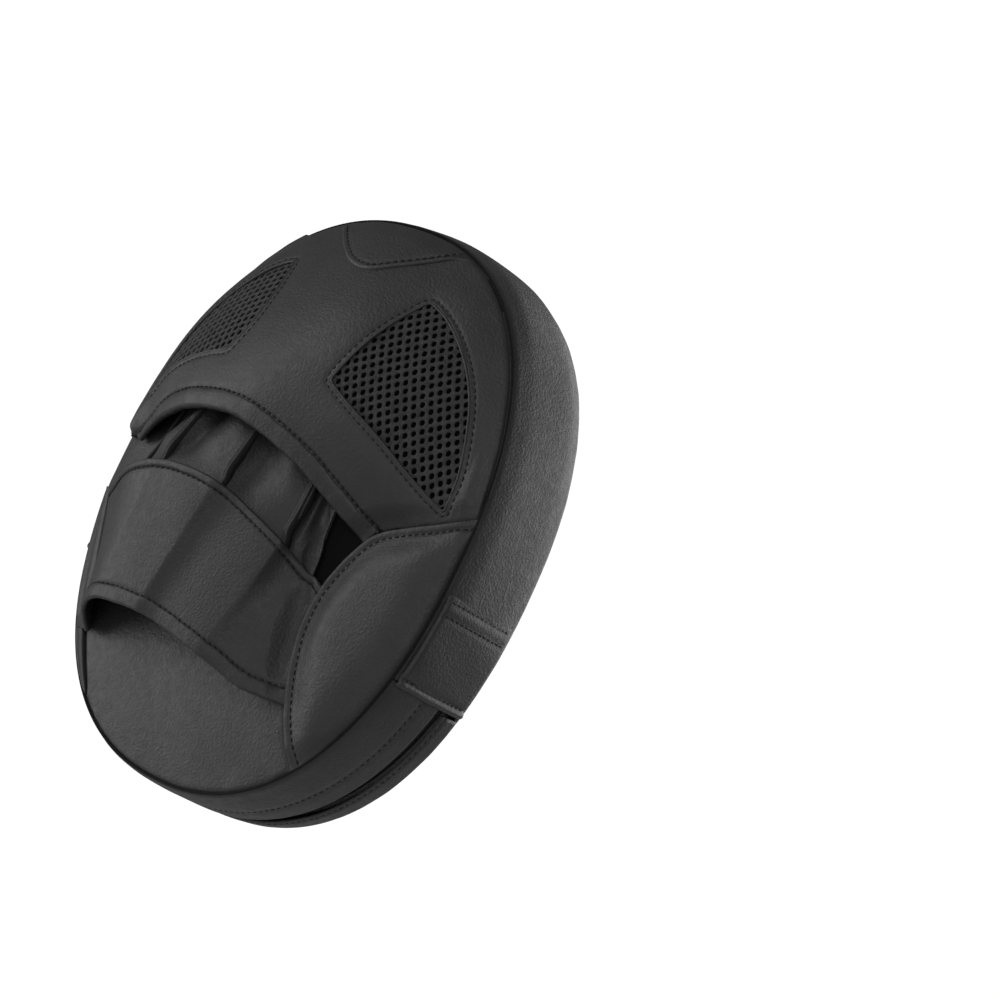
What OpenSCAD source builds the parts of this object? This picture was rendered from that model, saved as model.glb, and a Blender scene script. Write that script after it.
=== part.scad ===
// Focus mitt: a padded target worn on the left hand.
// Fingers point along +Z, the hand lies on the +Y side and the striking face looks along -Y.
// The origin is the middle of the palm surface. All sizes are in millimetres.

/* [Outline] */
// Half of the mitt's length
half_length = 125; // [115:1:135]
// Half of the mitt's width
half_width = 98; // [90:1:106]
// Squareness of the oval outline, where 2 is a plain ellipse
squareness = 2.25; // [2.1:0.05:2.4]

/* [Hand unit] */
// Height of the crowned palm above its edge seam
palm_crown = 6; // [5:0.5:7]
// Thickness of the hand unit's wall
hand_unit_depth = 31.5; // [29:0.5:34]
// Width of the thumb panel's raised padding
thumb_padding = 3; // [2:0.5:3.5]
// Width of the strip along the little-finger side
outer_strip = 7; // [5:1:8]

/* [Striking pad] */
// Gap between the hand unit and the striking pad
slit_gap = 5; // [4.6:0.2:6]
// Thickness of the striking pad's wall
pad_depth = 12; // [11:0.5:14]
// Height of the crowned striking face above its edge seam
face_crown = 5.5; // [4.5:0.5:7]
// Part of the striking face that is flat
flat_part = 0.62; // [0.5:0.02:0.66]
// Thickness of the soft foam under the striking face
face_foam_depth = 5; // [4:0.5:6]

/* [Hand cover] */
// Height of the arch that the fingers go under
arch_height = 30; // [28:1:33]
// Distance below the middle at which the side tabs end
tab_low = 46; // [42:1:50]
// Distance below the middle at which the side tabs start
tab_high = 9; // [6:1:12]

/* [Materials] */
// Thickness of the leather
leather = 1.5; // [1.2:0.1:1.6]
// Thickness of the lining cloth
cloth = 0.8; // [0.6:0.1:1]
// Radius of the rolled hems
hem_radius = 2.2; // [1.8:0.1:2.4]

/* [Hidden] */

// Colours
leather_black = "#3a3a3c";
seam_black = "#2a2a2c";
mesh_black = "#1d1d1f";
cloth_grey = "#4a4a4d";
soft_foam = "#8d8f94";
firm_foam = "#6f7278";

// Nominal sizes that the hand cover's control points are drawn for
nominal_half_width = 98;
nominal_half_length = 125;
nominal_arch = 30;
across = half_width / nominal_half_width;
along = half_length / nominal_half_length;
up = arch_height / nominal_arch;

// Clearances: between sewn neighbours, between pieces that move apart, and round the linings and tabs
sewn_gap = 0.15;
free_gap = 0.5;
lining_gap = 0.3;

// Levels along Y
rim_y = -palm_crown;
hand_back_y = rim_y - hand_unit_depth;
pad_back_y = hand_back_y - slit_gap;
face_rim_y = pad_back_y - pad_depth;
face_y = face_rim_y - face_crown;

// Walls
wall_bulge = 1.5;
wall_rows = 4;
foam_inset = 3.2;
oval_steps = 60;

// ---------- outline ----------

function sign_of(v) = v < 0 ? -1 : 1;
function half_power(v) = sign_of(v) * pow(abs(v), 2 / squareness);

// Point of the oval at an angle, moved inwards by inset, as [x, z]
function oval(angle, inset = 0) = [
    half_power(cos(angle)) * (half_width - inset),
    half_power(sin(angle)) * (half_length - inset)
];

// 0 at the middle of the oval and 1 on its edge
function radius_part(x, z) = pow(
    pow(abs(x) / half_width, squareness) + pow(abs(z) / half_length, squareness), 1 / squareness);

// Angle at which the oval's right side passes a height
function angle_at(z) = sign_of(z) * asin(pow(abs(z) / half_length, squareness / 2));

// Height of the palm surface
crown_power = 3.2;
function palm_at(x, z) = rim_y * pow(min(radius_part(x, z), 1), crown_power);

// ---------- curves ----------

function cover_point(p) = [p[0] * across, p[1] * up, p[2] * along];
function cover_curve(points) = [for (p = points) cover_point(p)];

// Point of a smooth curve through control points, where s runs from 0 to 1
function curve_point(points, s) = let (
    last = len(points) - 1,
    i = min(floor(s * last), last - 1),
    f = s * last - i,
    a = points[max(i - 1, 0)],
    b = points[i],
    c = points[i + 1],
    d = points[min(i + 2, last)]
) 0.5 * (2 * b + (c - a) * f + (2 * a - 5 * b + 4 * c - d) * f * f + (3 * b - a - 3 * c + d) * f * f * f);
function curve(points, steps, from = 0, to = 1) = [
    for (i = [0 : steps]) curve_point(points, from + (to - from) * i / steps)
];
function unit(v) = v / norm(v);

// ---------- solids from grids ----------

// Unit normal of a grid of points, pointing to the +Y side
function grid_normal(grid, i, j) = let (
    a = grid[min(i + 1, len(grid) - 1)][j] - grid[max(i - 1, 0)][j],
    b = grid[i][min(j + 1, len(grid[0]) - 1)] - grid[i][max(j - 1, 0)],
    n = unit(cross(a, b))
) n[1] < 0 ? -n : n;

// Grid moved into the material along its own normals
function sunk(grid, depth) = [
    for (i = [0 : len(grid) - 1]) [
        for (j = [0 : len(grid[0]) - 1]) grid[i][j] - depth * grid_normal(grid, i, j)
    ]
];

// Closed solid between two grids of the same size
module slab(top, bottom) {
    rows = len(top);
    cols = len(top[0]);
    count = rows * cols;
    points = [for (grid = [top, bottom]) for (row = grid) for (p = row) p];
    faces = concat(
        [for (i = [0 : rows - 2]) for (j = [0 : cols - 2]) for (f = split(
            i * cols + j, i * cols + j + 1, (i + 1) * cols + j + 1, (i + 1) * cols + j)) f],
        [for (i = [0 : rows - 2]) for (j = [0 : cols - 2]) for (f = split(
            count + i * cols + j, count + (i + 1) * cols + j,
            count + (i + 1) * cols + j + 1, count + i * cols + j + 1)) f],
        [for (i = [0 : rows - 2]) for (f = split(
            i * cols, (i + 1) * cols, count + (i + 1) * cols, count + i * cols)) f],
        [for (i = [0 : rows - 2]) for (f = split(
            (i + 1) * cols + cols - 1, i * cols + cols - 1,
            count + i * cols + cols - 1, count + (i + 1) * cols + cols - 1)) f],
        [for (j = [0 : cols - 2]) for (f = split(j + 1, j, count + j, count + j + 1)) f],
        [for (j = [0 : cols - 2]) for (f = split(
            (rows - 1) * cols + j, (rows - 1) * cols + j + 1,
            count + (rows - 1) * cols + j + 1, count + (rows - 1) * cols + j)) f]
    );
    polyhedron(points = points, faces = faces);
}
function split(a, b, c, d) = [[a, b, c], [a, c, d]];

// Leather or cloth layer lying under a surface, from one depth to another
module layer(surface, from, to) {
    slab(from == 0 ? surface : sunk(surface, from), sunk(surface, to));
}

// Solid through a stack of ovals, each given as [inset, scale, y]
module oval_stack(stations) {
    count = len(stations);
    points = [for (s = stations) for (i = [0 : oval_steps - 1]) let (
        p = oval(i * 360 / oval_steps, s[0]) * s[1]) [p[0], s[2], p[1]]];
    faces = concat(
        [for (k = [0 : count - 2]) for (i = [0 : oval_steps - 1]) let (
            n = (i + 1) % oval_steps, a = k * oval_steps, b = (k + 1) * oval_steps)
            for (f = split(a + i, a + n, b + n, b + i)) f],
        [[for (i = [oval_steps - 1 : -1 : 0]) i]],
        [[for (i = [0 : oval_steps - 1]) (count - 1) * oval_steps + i]]
    );
    polyhedron(points = points, faces = faces);
}

// Round cord along a list of points
module roll(path, radius, sides = 8) {
    last = len(path) - 1;
    rings = [for (i = [0 : last]) let (
        t = unit(path[min(i + 1, last)] - path[max(i - 1, 0)]),
        a = unit(cross(t, [0, 1, 0])),
        b = cross(a, t)
    ) for (k = [0 : sides - 1]) path[i] + radius * (cos(k * 360 / sides) * a + sin(k * 360 / sides) * b)];
    faces = concat(
        [for (i = [0 : last - 1]) for (k = [0 : sides - 1]) let (n = (k + 1) % sides)
            for (f = split(i * sides + k, i * sides + n, (i + 1) * sides + n, (i + 1) * sides + k)) f],
        [[for (k = [sides - 1 : -1 : 0]) k]],
        [[for (k = [0 : sides - 1]) last * sides + k]]
    );
    polyhedron(points = rings, faces = faces);
}

// Prism along Y over an outline of [x, z] points
module prism(outline, low = -20, high = 60) {
    translate([0, high, 0])
        rotate([90, 0, 0])
            linear_extrude(high - low)
                polygon(outline);
}

// ---------- palm side ----------

// Thickness of the palm foam at its edge
palm_foam_edge = 9;
crown_rings = [1, 0.97, 0.93, 0.88, 0.8, 0.7, 0.55, 0.35, 0.05];

// Crowned solid from a depth below the palm surface to a flat level or to a second depth
module crowned(inset, top_depth, bottom_y) {
    oval_stack(concat(
        [[inset, 1, bottom_y]],
        [for (r = crown_rings) [inset, r, rim_y * pow(r * (1 - inset / half_width), crown_power) - top_depth]]
    ));
}
module crowned_sheet(top, bottom) {
    oval_stack(concat(
        [for (i = [len(crown_rings) - 1 : -1 : 0]) let (r = crown_rings[i])
            [sewn_gap, r, rim_y * pow(r, crown_power) + bottom]],
        [for (r = crown_rings) [sewn_gap, r, rim_y * pow(r, crown_power) + top]]
    ));
}

// Inner seam of the thumb panel, as [x, z] from the rim down
thumb_seam = [
    [-99, 22], [-84, 14], [-70, 7.5], [-59, 1.5], [-52, -7], [-46, -20], [-42.5, -33], [-42.5, -47],
    [-45.5, -60], [-51, -75], [-58, -88], [-68, -101]
];
seam_points = [for (p = curve(thumb_seam, 40)) [p[0] * across, p[1] * along]];
seam_last = len(seam_points) - 1;
// The seam moved towards the thumb side by an offset
function seam_outline(offset) = [
    for (i = [0 : seam_last]) let (
        t = unit(seam_points[min(i + 1, seam_last)] - seam_points[max(i - 1, 0)])
    ) seam_points[i] - offset * [-t[1], t[0]]
];
// Distance from the middle to a line that is well outside the mitt
outside_line = 150;
module thumb_region(offset) {
    prism(concat(seam_outline(offset),
        [[-outside_line, -half_length], [-outside_line, thumb_seam[0][1] * along]]));
}

// Strip along the little-finger side, between the oval and a line inside it
strip_from = -58;
strip_to = 4;
strip_beyond = 10;
function strip_width(s) = outer_strip * pow(sin(180 * s), 0.4);
module outer_region(offset) {
    steps = 24;
    prism(concat(
        [for (i = [0 : steps]) oval(strip_from + (strip_to - strip_from) * i / steps,
            strip_width(i / steps) + offset)],
        [for (i = [steps : -1 : 0]) oval(strip_from + (strip_to - strip_from) * i / steps, -strip_beyond)]
    ));
}

module palm_panel() {
    color(leather_black)
        difference() {
            crowned_sheet(0, -leather);
            thumb_region(-sewn_gap);
            outer_region(sewn_gap);
        }
}
module palm_foam() {
    color(soft_foam) crowned(foam_inset, leather + sewn_gap, rim_y - palm_foam_edge);
}
module hand_core() {
    color(firm_foam) oval_stack([
        [foam_inset, 1, hand_back_y + cloth + lining_gap],
        [foam_inset, 1, rim_y - palm_foam_edge - sewn_gap]
    ]);
}
module hand_lining() {
    color(cloth_grey) oval_stack([
        [leather + lining_gap, 1, hand_back_y],
        [leather + lining_gap, 1, hand_back_y + cloth]
    ]);
}
module thumb_panel() {
    color(leather_black)
        intersection() {
            crowned_sheet(thumb_padding, thumb_padding - leather);
            thumb_region(sewn_gap);
        }
}
module thumb_foam() {
    color(soft_foam)
        intersection() {
            crowned_sheet(thumb_padding - leather - sewn_gap, -leather);
            thumb_region(leather);
        }
}
module outer_panel() {
    color(leather_black)
        intersection() {
            crowned_sheet(0, -leather);
            outer_region(0);
        }
}

// ---------- walls ----------

function wall_lift(y) = let (f = (y - rim_y) / (face_rim_y - rim_y)) wall_bulge * 4 * f * (1 - f);
module wall(from, to, top_y, low_y, outside = 0, thickness = leather) {
    steps = max(3, round(abs(to - from) / 5));
    grids = [for (depth = [0, thickness]) [
        for (i = [0 : steps]) [
            for (j = [0 : wall_rows]) let (
                y = top_y + (low_y - top_y) * j / wall_rows,
                p = oval(from + (to - from) * i / steps, depth - outside - wall_lift(y))
            ) [p[0], y, p[1]]
        ]
    ]];
    slab(grids[0], grids[1]);
}

tab_angle = -angle_at(-tab_low);
tab_top_angle = -angle_at(-tab_high);
// Turns past the end of the tab, in degrees, at which the walls below it start
seam_turn = 0.12;
tab_turn = 1;
slit_turn = 1.7;
wall_top_y = rim_y - leather - sewn_gap;
wall_front_y = face_rim_y + leather + free_gap;

module side_gusset() {
    color(leather_black)
        wall(-tab_angle + seam_turn, 180 + tab_angle - seam_turn, wall_top_y, wall_front_y);
}
module wrist_gusset() {
    color(leather_black)
        wall(180 + tab_angle + seam_turn, 360 - tab_angle - seam_turn, wall_top_y, hand_back_y);
}
module pad_gusset() {
    color(leather_black)
        wall(180 + tab_angle + slit_turn, 360 - tab_angle - slit_turn, pad_back_y, wall_front_y);
}
module side_tab(from, to) {
    tab_edge = 1.5;
    color(leather_black)
        wall(from, to, rim_y - tab_edge, face_rim_y + 3 * tab_edge, outside = leather + lining_gap);
}
module thumb_side_tab() {
    side_tab(180 + tab_top_angle, 180 + tab_angle + tab_turn);
}
module outer_side_tab() {
    side_tab(-tab_angle - tab_turn, -tab_top_angle);
}

// ---------- finger hood ----------

// Edge of the arch, from its foot on the thumb side to its foot on the little-finger side
arch_edge = cover_curve([
    [-55, 1, -4], [-38, 13, 5.5], [-18, 22.5, 15], [14, 30, 22.5], [44, 27, 20], [66, 18.5, 13],
    [80, 10, 4.5], [86.5, 5, -1]
]);
arch_rim_from = 170;
arch_rim_to = 0;
hood_columns = 26;
hood_rows = 14;
hood_clearance = leather + cloth + 2 * sewn_gap + free_gap;
hem_setback = hem_radius + 0.6;
// Where the hood is sewn in: inside the outline, and above the rim seam
rim_seam_inset = 0.5;
rim_seam_lift = 2.6;
// How far the surface runs straight on from the arch and from the rim, and how much it swells there
arch_reach = 0.34;
arch_swell = 0.46;
rim_reach = 0.3;
rim_swell = 0.22;

function bezier(a, b, c, d, f) = a * pow(1 - f, 3) + 3 * b * f * pow(1 - f, 2)
    + 3 * c * f * f * (1 - f) + d * pow(f, 3);

// Surface of the hood: s runs across the fingers, f from the arch to the rim
function hood_point(s, f) = let (
    a = curve_point(arch_edge, s),
    rim = oval(arch_rim_from + (arch_rim_to - arch_rim_from) * s, rim_seam_inset),
    d = [rim[0], rim_y + rim_seam_lift, rim[1]],
    reach = norm(d - a),
    b = a + arch_reach * (d - a) + [0, arch_swell * (a[1] - d[1]), 0],
    c = d + rim_reach * (a - d) + [0, rim_swell * (a[1] - d[1]), 0],
    start = hem_setback / reach,
    p = bezier(a, b, c, d, start + (1 - start) * f)
) [p[0], max(p[1], palm_at(p[0], p[2]) + hood_clearance), p[2]];
hood_surface = [for (i = [0 : hood_columns]) [
    for (j = [hood_rows : -1 : 0]) hood_point(i / hood_columns, j / hood_rows)
]];

// Openings for the mesh, as [x, z]
thumb_window = [
    [-19, 49], [-24.5, 76], [-35, 97], [-54, 84], [-72, 63], [-82, 40], [-84, 18], [-66, 27], [-44, 37]
];
outer_window = [
    [39, 46], [37, 60], [39, 77], [46, 94], [62, 82], [76, 62], [85, 40], [89, 17], [79, 28], [66, 37],
    [50, 43]
];
function mean(points) = [for (p = points) 1 / len(points)] * points;
module window(points, inset = 0) {
    middle = mean(points);
    prism([for (p = points) let (q = p - inset * unit(p - middle)) [q[0] * across, q[1] * along]]);
}
mesh_sink = 0.5;
mesh_depth = 0.95;
mesh_inset = 0.3;

module hood_panel() {
    color(leather_black)
        difference() {
            layer(hood_surface, 0, leather);
            window(thumb_window);
            window(outer_window);
            thumb_region(-free_gap);
        }
}
module hood_lining() {
    color(cloth_grey)
        difference() {
            layer(hood_surface, leather + sewn_gap, leather + sewn_gap + cloth);
            thumb_region(-free_gap);
        }
}
module mesh_window(points) {
    color(mesh_black)
        intersection() {
            layer(hood_surface, mesh_sink, mesh_sink + mesh_depth);
            window(points, mesh_inset);
        }
}
module thumb_side_mesh() {
    mesh_window(thumb_window);
}
module outer_side_mesh() {
    mesh_window(outer_window);
}
module arch_binding() {
    color(leather_black)
        difference() {
            roll(curve(arch_edge, 32, 0.01, 0.99), hem_radius);
            thumb_region(-free_gap);
        }
}

// Lower edge of the reinforcement at the tip, as [x, z]
patch_edge = [[40, 116], [26, 106], [14, 100], [2, 99], [-9.5, 105], [-21, 112], [-29, 117], [-39, 119]];
patch_gap = 0.1;
module tip_patch() {
    patch_lift = leather + patch_gap;
    color(leather_black)
        intersection() {
            slab(sunk(hood_surface, -patch_lift), sunk(hood_surface, -patch_gap));
            prism([for (p = concat(curve(patch_edge, 24), [[-60, 140], [60, 140]]))
                [p[0] * across, p[1] * along]]);
        }
}

// ---------- hand strap ----------

strap_top = cover_curve([
    [-41, 3, -27], [-26, 13.5, -19], [-8, 21, -12.5], [10, 27, -7.5], [28, 29.5, -6.5], [46, 29, -8.5],
    [66, 23, -15], [88, 6, -26]
]);
strap_low = cover_curve([
    [-48, 2.5, -76], [-34, 11, -77], [-14, 17, -72.5], [5, 21, -69], [24, 24, -67], [48, 24, -69],
    [63, 14, -75], [69, 0, -84]
]);
strap_columns = 26;
strap_rows = 6;
strap_thickness = 2 * leather + cloth + 2 * sewn_gap;

function strap_point(s, f) = let (
    a = curve_point(strap_top, s),
    b = curve_point(strap_low, s),
    start = hem_setback / norm(b - a),
    p = a + (b - a) * (start + (1 - 2 * start) * f)
) [p[0], max(p[1], palm_at(p[0], p[2]) + strap_thickness + free_gap), p[2]];
strap_surface = [for (i = [0 : strap_columns]) [
    for (j = [0 : strap_rows]) strap_point(i / strap_columns, j / strap_rows)
]];
strap_foam_end = leather + sewn_gap + leather;

module strap_layer(from, thickness) {
    difference() {
        layer(strap_surface, from, from + thickness);
        thumb_region(-free_gap);
    }
}
module strap_panel() {
    color(leather_black) strap_layer(0, leather);
}
module strap_foam() {
    color(soft_foam) strap_layer(leather + sewn_gap, leather);
}
module strap_lining() {
    color(cloth_grey) strap_layer(strap_foam_end + sewn_gap, cloth);
}
hem_sink = 0.5;
function hem_path(edge) = [for (p = curve(edge, 30, 0.02, 0.98)) [
    p[0], max(p[1] - hem_sink, palm_at(p[0], p[2]) + hem_radius + free_gap), p[2]
]];
module strap_hem(edge) {
    color(seam_black)
        difference() {
            roll(hem_path(edge), hem_radius);
            thumb_region(-free_gap);
        }
}
module strap_top_hem() {
    strap_hem(strap_top);
}
module strap_wrist_hem() {
    strap_hem(strap_low);
}

// ---------- finger stalls ----------

// Where the stalls start behind the strap, and where they end under the hood
stall_root = cover_curve([
    [-38, 3, -17], [-23, 11, -15.5], [-8, 19, -8.5], [10, 24.5, -3], [28, 27, -2], [45, 26.5, -4],
    [63, 19, -10], [79, 6, -19]
]);
stall_tip = cover_curve([
    [-33, 3, 46], [-19, 7, 54], [-4, 10, 60], [12, 12, 63], [28, 12, 63], [43, 11, 60],
    [56, 7, 52], [67, 3, 40]
]);
stall_limits = [0, 1 / 7, 3 / 7, 5 / 7, 1];
stall_columns = 8;
stall_rows = 10;
stall_bulge = 2.2;
stall_sag = 2.4;
ridge_gap = 0.012;
ridge_radius = 1.3;

function stall_base(s, f) = let (
    a = curve_point(stall_root, s),
    b = curve_point(stall_tip, s)
) a + (b - a) * f - [0, stall_sag * 4 * f * (1 - f), 0];
function stall_point(number, across_part, f) = let (
    from = stall_limits[number] + (number == 0 ? 0 : ridge_gap),
    to = stall_limits[number + 1] - (number == 3 ? 0 : ridge_gap),
    p = stall_base(from + (to - from) * across_part, f)
) [
    p[0],
    max(p[1] + stall_bulge * sin(180 * across_part), palm_at(p[0], p[2]) + leather + free_gap),
    p[2]
];
module stall(number) {
    color(leather_black)
        layer([for (i = [0 : stall_columns]) [
            for (j = [stall_rows : -1 : 0]) stall_point(number, i / stall_columns, j / stall_rows)
        ]], 0, leather);
}
module index_stall() {
    stall(0);
}
module middle_stall() {
    stall(1);
}
module ring_stall() {
    stall(2);
}
module little_stall() {
    stall(3);
}
module stall_ridges() {
    ridge_lift = 1.6;
    color(seam_black)
        for (k = [1 : 3])
            roll([for (i = [0 : 12]) stall_base(stall_limits[k], i / 12) + [0, ridge_lift, 0]],
                ridge_radius);
}

// ---------- striking pad ----------

face_rings = [1, 0.98, 0.94, 0.88, 0.8, 0.7];
face_power = 2.6;
function face_level(r) = face_y + (r <= flat_part ? 0
    : face_crown * pow((r - flat_part) / (1 - flat_part), face_power));

// Crowned layer parallel to the striking face
module face_layer(inset, front, back) {
    oval_stack(concat(
        [[inset, flat_part, face_y + front]],
        [for (i = [len(face_rings) - 1 : -1 : 0]) [inset, face_rings[i], face_level(face_rings[i]) + front]],
        [for (r = face_rings) [inset, r, face_level(r) + back]],
        [[inset, flat_part, face_y + back]]
    ));
}
module face_cover() {
    color(leather_black) face_layer(0, 0, leather);
}
module face_foam() {
    color(soft_foam) face_layer(foam_inset, leather + sewn_gap, leather + sewn_gap + face_foam_depth);
}
// Least thickness of the core at its edge
core_edge = 2;
module core_foam() {
    front = leather + 2 * sewn_gap + face_foam_depth;
    color(firm_foam) oval_stack(concat(
        [[foam_inset, flat_part, face_y + front]],
        [for (i = [len(face_rings) - 1 : -1 : 0]) [foam_inset, face_rings[i],
            min(face_level(face_rings[i]) + front, pad_back_y - core_edge)]],
        [[foam_inset, 1, pad_back_y - cloth - lining_gap]]
    ));
}
module pad_lining() {
    color(cloth_grey) oval_stack([[foam_inset, 1, pad_back_y - cloth], [foam_inset, 1, pad_back_y]]);
}

palm_panel();
palm_foam();
hand_core();
hand_lining();
thumb_panel();
thumb_foam();
outer_panel();
wrist_gusset();
side_gusset();
thumb_side_tab();
outer_side_tab();
hood_panel();
hood_lining();
arch_binding();
thumb_side_mesh();
outer_side_mesh();
tip_patch();
strap_panel();
strap_foam();
strap_lining();
strap_top_hem();
strap_wrist_hem();
index_stall();
middle_stall();
ring_stall();
little_stall();
stall_ridges();
face_cover();
face_foam();
core_foam();
pad_lining();
pad_gusset();
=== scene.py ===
import math
import bmesh
import bpy
import numpy as np
from mathutils import Matrix, Vector


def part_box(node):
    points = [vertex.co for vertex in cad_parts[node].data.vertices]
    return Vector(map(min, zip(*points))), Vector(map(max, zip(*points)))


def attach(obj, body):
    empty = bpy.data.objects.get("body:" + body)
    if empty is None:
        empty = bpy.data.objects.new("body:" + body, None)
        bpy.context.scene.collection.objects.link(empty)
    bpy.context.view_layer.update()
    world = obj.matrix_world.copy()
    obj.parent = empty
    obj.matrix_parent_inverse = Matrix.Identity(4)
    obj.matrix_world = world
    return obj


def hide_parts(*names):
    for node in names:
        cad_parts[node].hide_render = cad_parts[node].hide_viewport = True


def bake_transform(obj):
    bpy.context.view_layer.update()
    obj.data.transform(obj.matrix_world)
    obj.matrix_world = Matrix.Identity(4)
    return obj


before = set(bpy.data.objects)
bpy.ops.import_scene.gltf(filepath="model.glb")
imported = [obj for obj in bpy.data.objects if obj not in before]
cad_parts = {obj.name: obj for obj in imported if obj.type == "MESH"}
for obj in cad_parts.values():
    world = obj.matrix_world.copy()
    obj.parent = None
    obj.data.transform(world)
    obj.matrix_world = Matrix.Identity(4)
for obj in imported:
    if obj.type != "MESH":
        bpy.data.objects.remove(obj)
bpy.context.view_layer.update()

# Shapes are worked out in millimetres, and made metres when a mesh is built.
# Fingers point along +Z, the hand lies on the +Y side, and the striking face looks along -Y.
MM = 1000.0
HAND_SIDE = (0, 1, 0)
FACE_SIDE = (0, -1, 0)


def node_box(name):
    """Lowest and highest corner of a CAD node, in millimetres."""
    low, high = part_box(name)
    return np.array(low) * MM, np.array(high) * MM


# ---------- sizes ----------

LEATHER = 1.5
CLOTH = 0.8
SEWN_GAP = 0.15
# Powers of the oval outline, the palm's crown and the face's crown
SQUARENESS = 2.25
CROWN_POWER = 3.2
FACE_POWER = 2.6
# Part of the face's radius that is flat
FLAT_PART = 0.62

face_low, face_high = node_box("face_cover")
# The filled leather stands a little proud of the CAD's plain walls
PROUD = 1.8
HALF_WIDTH = face_high[0] + PROUD
HALF_LENGTH = face_high[2] + PROUD
FACE_Y = face_low[1]
FACE_RIM_Y = face_high[1] - LEATHER
RIM_Y = node_box("palm_panel")[0][1] + LEATHER
HAND_BACK_Y = node_box("hand_lining")[0][1]
PAD_BACK_Y = node_box("pad_lining")[1][1]
FOAM_INSET = HALF_WIDTH - node_box("hand_core")[1][0]
PALM_FOAM_Y = node_box("palm_foam")[0][1]
TAB_LOW_Z = node_box("thumb_side_tab")[0][2]
TAB_TOP_Z = node_box("thumb_side_tab")[1][2]


# ---------- small maths ----------

def unit(v):
    """Vectors made one long."""
    return v / np.maximum(np.linalg.norm(v, axis=-1, keepdims=True), 1e-9)


def ease(x):
    """0 below 0, 1 above 1, and smooth between."""
    x = np.clip(x, 0, 1)
    return x * x * (3 - 2 * x)


def xyz(x, y, z):
    """Points from coordinates that fit one another."""
    return np.stack(np.broadcast_arrays(x, y, z), -1)


def lattice(first, second):
    """Two grids of values, from two ranges given as (from, to, count)."""
    return np.meshgrid(np.linspace(*first), np.linspace(*second), indexing="ij")


def distances_along(path):
    """How far along a path each of its points is."""
    return np.concatenate([[0], np.cumsum(np.linalg.norm(np.diff(path, axis=0), axis=1))])


def curve(points, s):
    """Smooth curve through control points, where s runs from 0 to 1."""
    points = np.array(points, float)
    s = np.asarray(s, float)
    last = len(points) - 1
    i = np.clip(np.floor(s * last).astype(int), 0, last - 1)
    f = (s * last - i)[..., None]
    a, b = points[np.maximum(i - 1, 0)], points[i]
    c, d = points[i + 1], points[np.minimum(i + 2, last)]
    return 0.5 * (2 * b + (c - a) * f + (2 * a - 5 * b + 4 * c - d) * f**2
                  + (3 * b - a - 3 * c + d) * f**3)


def resample(path, step, closed=False):
    """Points evenly spaced along a path, about a step apart."""
    path = np.array(path, float)
    if closed:
        path = np.vstack([path, path[:1]])
    lengths = distances_along(path)
    count = max(2, int(round(lengths[-1] / step)))
    at = np.linspace(0, lengths[-1], count + 1)
    if closed:
        at = at[:-1]
    return np.stack([np.interp(at, lengths, path[:, k]) for k in range(path.shape[1])], 1)


def offset_line(line, amount):
    """Line of [x, z] points moved sideways, to its left where the amount is positive."""
    t = unit(np.gradient(line, axis=0))
    return line + amount * np.stack([-t[:, 1], t[:, 0]], 1)


def line_distance(p, line, closed=False):
    """Distance from points to a line of [x, z] points, and how far along the line the nearest point is."""
    line = np.array(line, float)
    if closed:
        line = np.vstack([line, line[:1]])
    a, ab = line[:-1], np.diff(line, axis=0)
    lengths = np.linalg.norm(ab, axis=1)
    start = distances_along(line)
    shape = p.shape[:-1]
    q = p.reshape(-1, 2)
    best = np.full(len(q), 1e9)
    along = np.zeros(len(q))
    for k in range(len(a)):
        t = np.clip(((q - a[k]) @ ab[k]) / max(lengths[k]**2, 1e-9), 0, 1)
        d = np.hypot(*(q - a[k] - t[:, None] * ab[k]).T)
        near = d < best
        best[near] = d[near]
        along[near] = start[k] + t[near] * lengths[k]
    return best.reshape(shape), along.reshape(shape)


def inside(p, outline):
    """True where [x, z] points are inside a closed outline."""
    outline = np.array(outline, float)
    q = p.reshape(-1, 2)
    result = np.zeros(len(q), bool)
    for a, b in zip(outline, np.roll(outline, -1, axis=0)):
        crosses = (a[1] > q[:, 1]) != (b[1] > q[:, 1])
        with np.errstate(divide="ignore", invalid="ignore"):
            at = a[0] + (q[:, 1] - a[1]) * (b[0] - a[0]) / (b[1] - a[1])
        result ^= crosses & (q[:, 0] < at)
    return result.reshape(p.shape[:-1])


def signed_distance(p, line, area=None):
    """Distance to a line, negative inside an area or inside the closed line, and how far along it."""
    d, along = line_distance(p, line, closed=area is None)
    return np.where(inside(p, line if area is None else area), -d, d), along


# ---------- the ways leather gives ----------

def roll_off(d, radius, depth):
    """How far a sewn edge has turned down, at a distance from its seam."""
    f = np.clip(1 - d / radius, 0, 1)
    return depth * (1 - np.sqrt(1 - f * f * 0.999))


def groove(d, width, depth):
    """Valley that a row of stitches pulls into the leather."""
    return depth * np.exp(-(d / width)**2)


def pucker(along, d, size=0.22, reach=5.0):
    """Small gathers beside a seam."""
    wave = 0.5 * np.sin(along / 1.9) + 0.8 * np.sin(along / 3.7 + 1.3) + 0.9 * np.sin(along / 8.3 + 0.4)
    return 0.5 * size * wave * np.exp(-(d / reach)**2) * ease(d / 1.5)


def swell(x, z, size, turn=0.0):
    """Slow unevenness of padded leather."""
    return size * (np.sin(x / 17 + turn) * np.sin(z / 23 + 1.7 * turn)
                   + 0.5 * np.sin(x / 9.1 - z / 13 + 2.3 * turn))


# ---------- outline and palm ----------

# The padding fills the little-finger side a little more than the thumb's
OUTER_GROWTH = 1.03
OUTER_BULGE = 2.8
# The hand side's panels stop this far inside the outline, where they are sewn to the walls
RIM_INSET = 0.9


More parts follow.
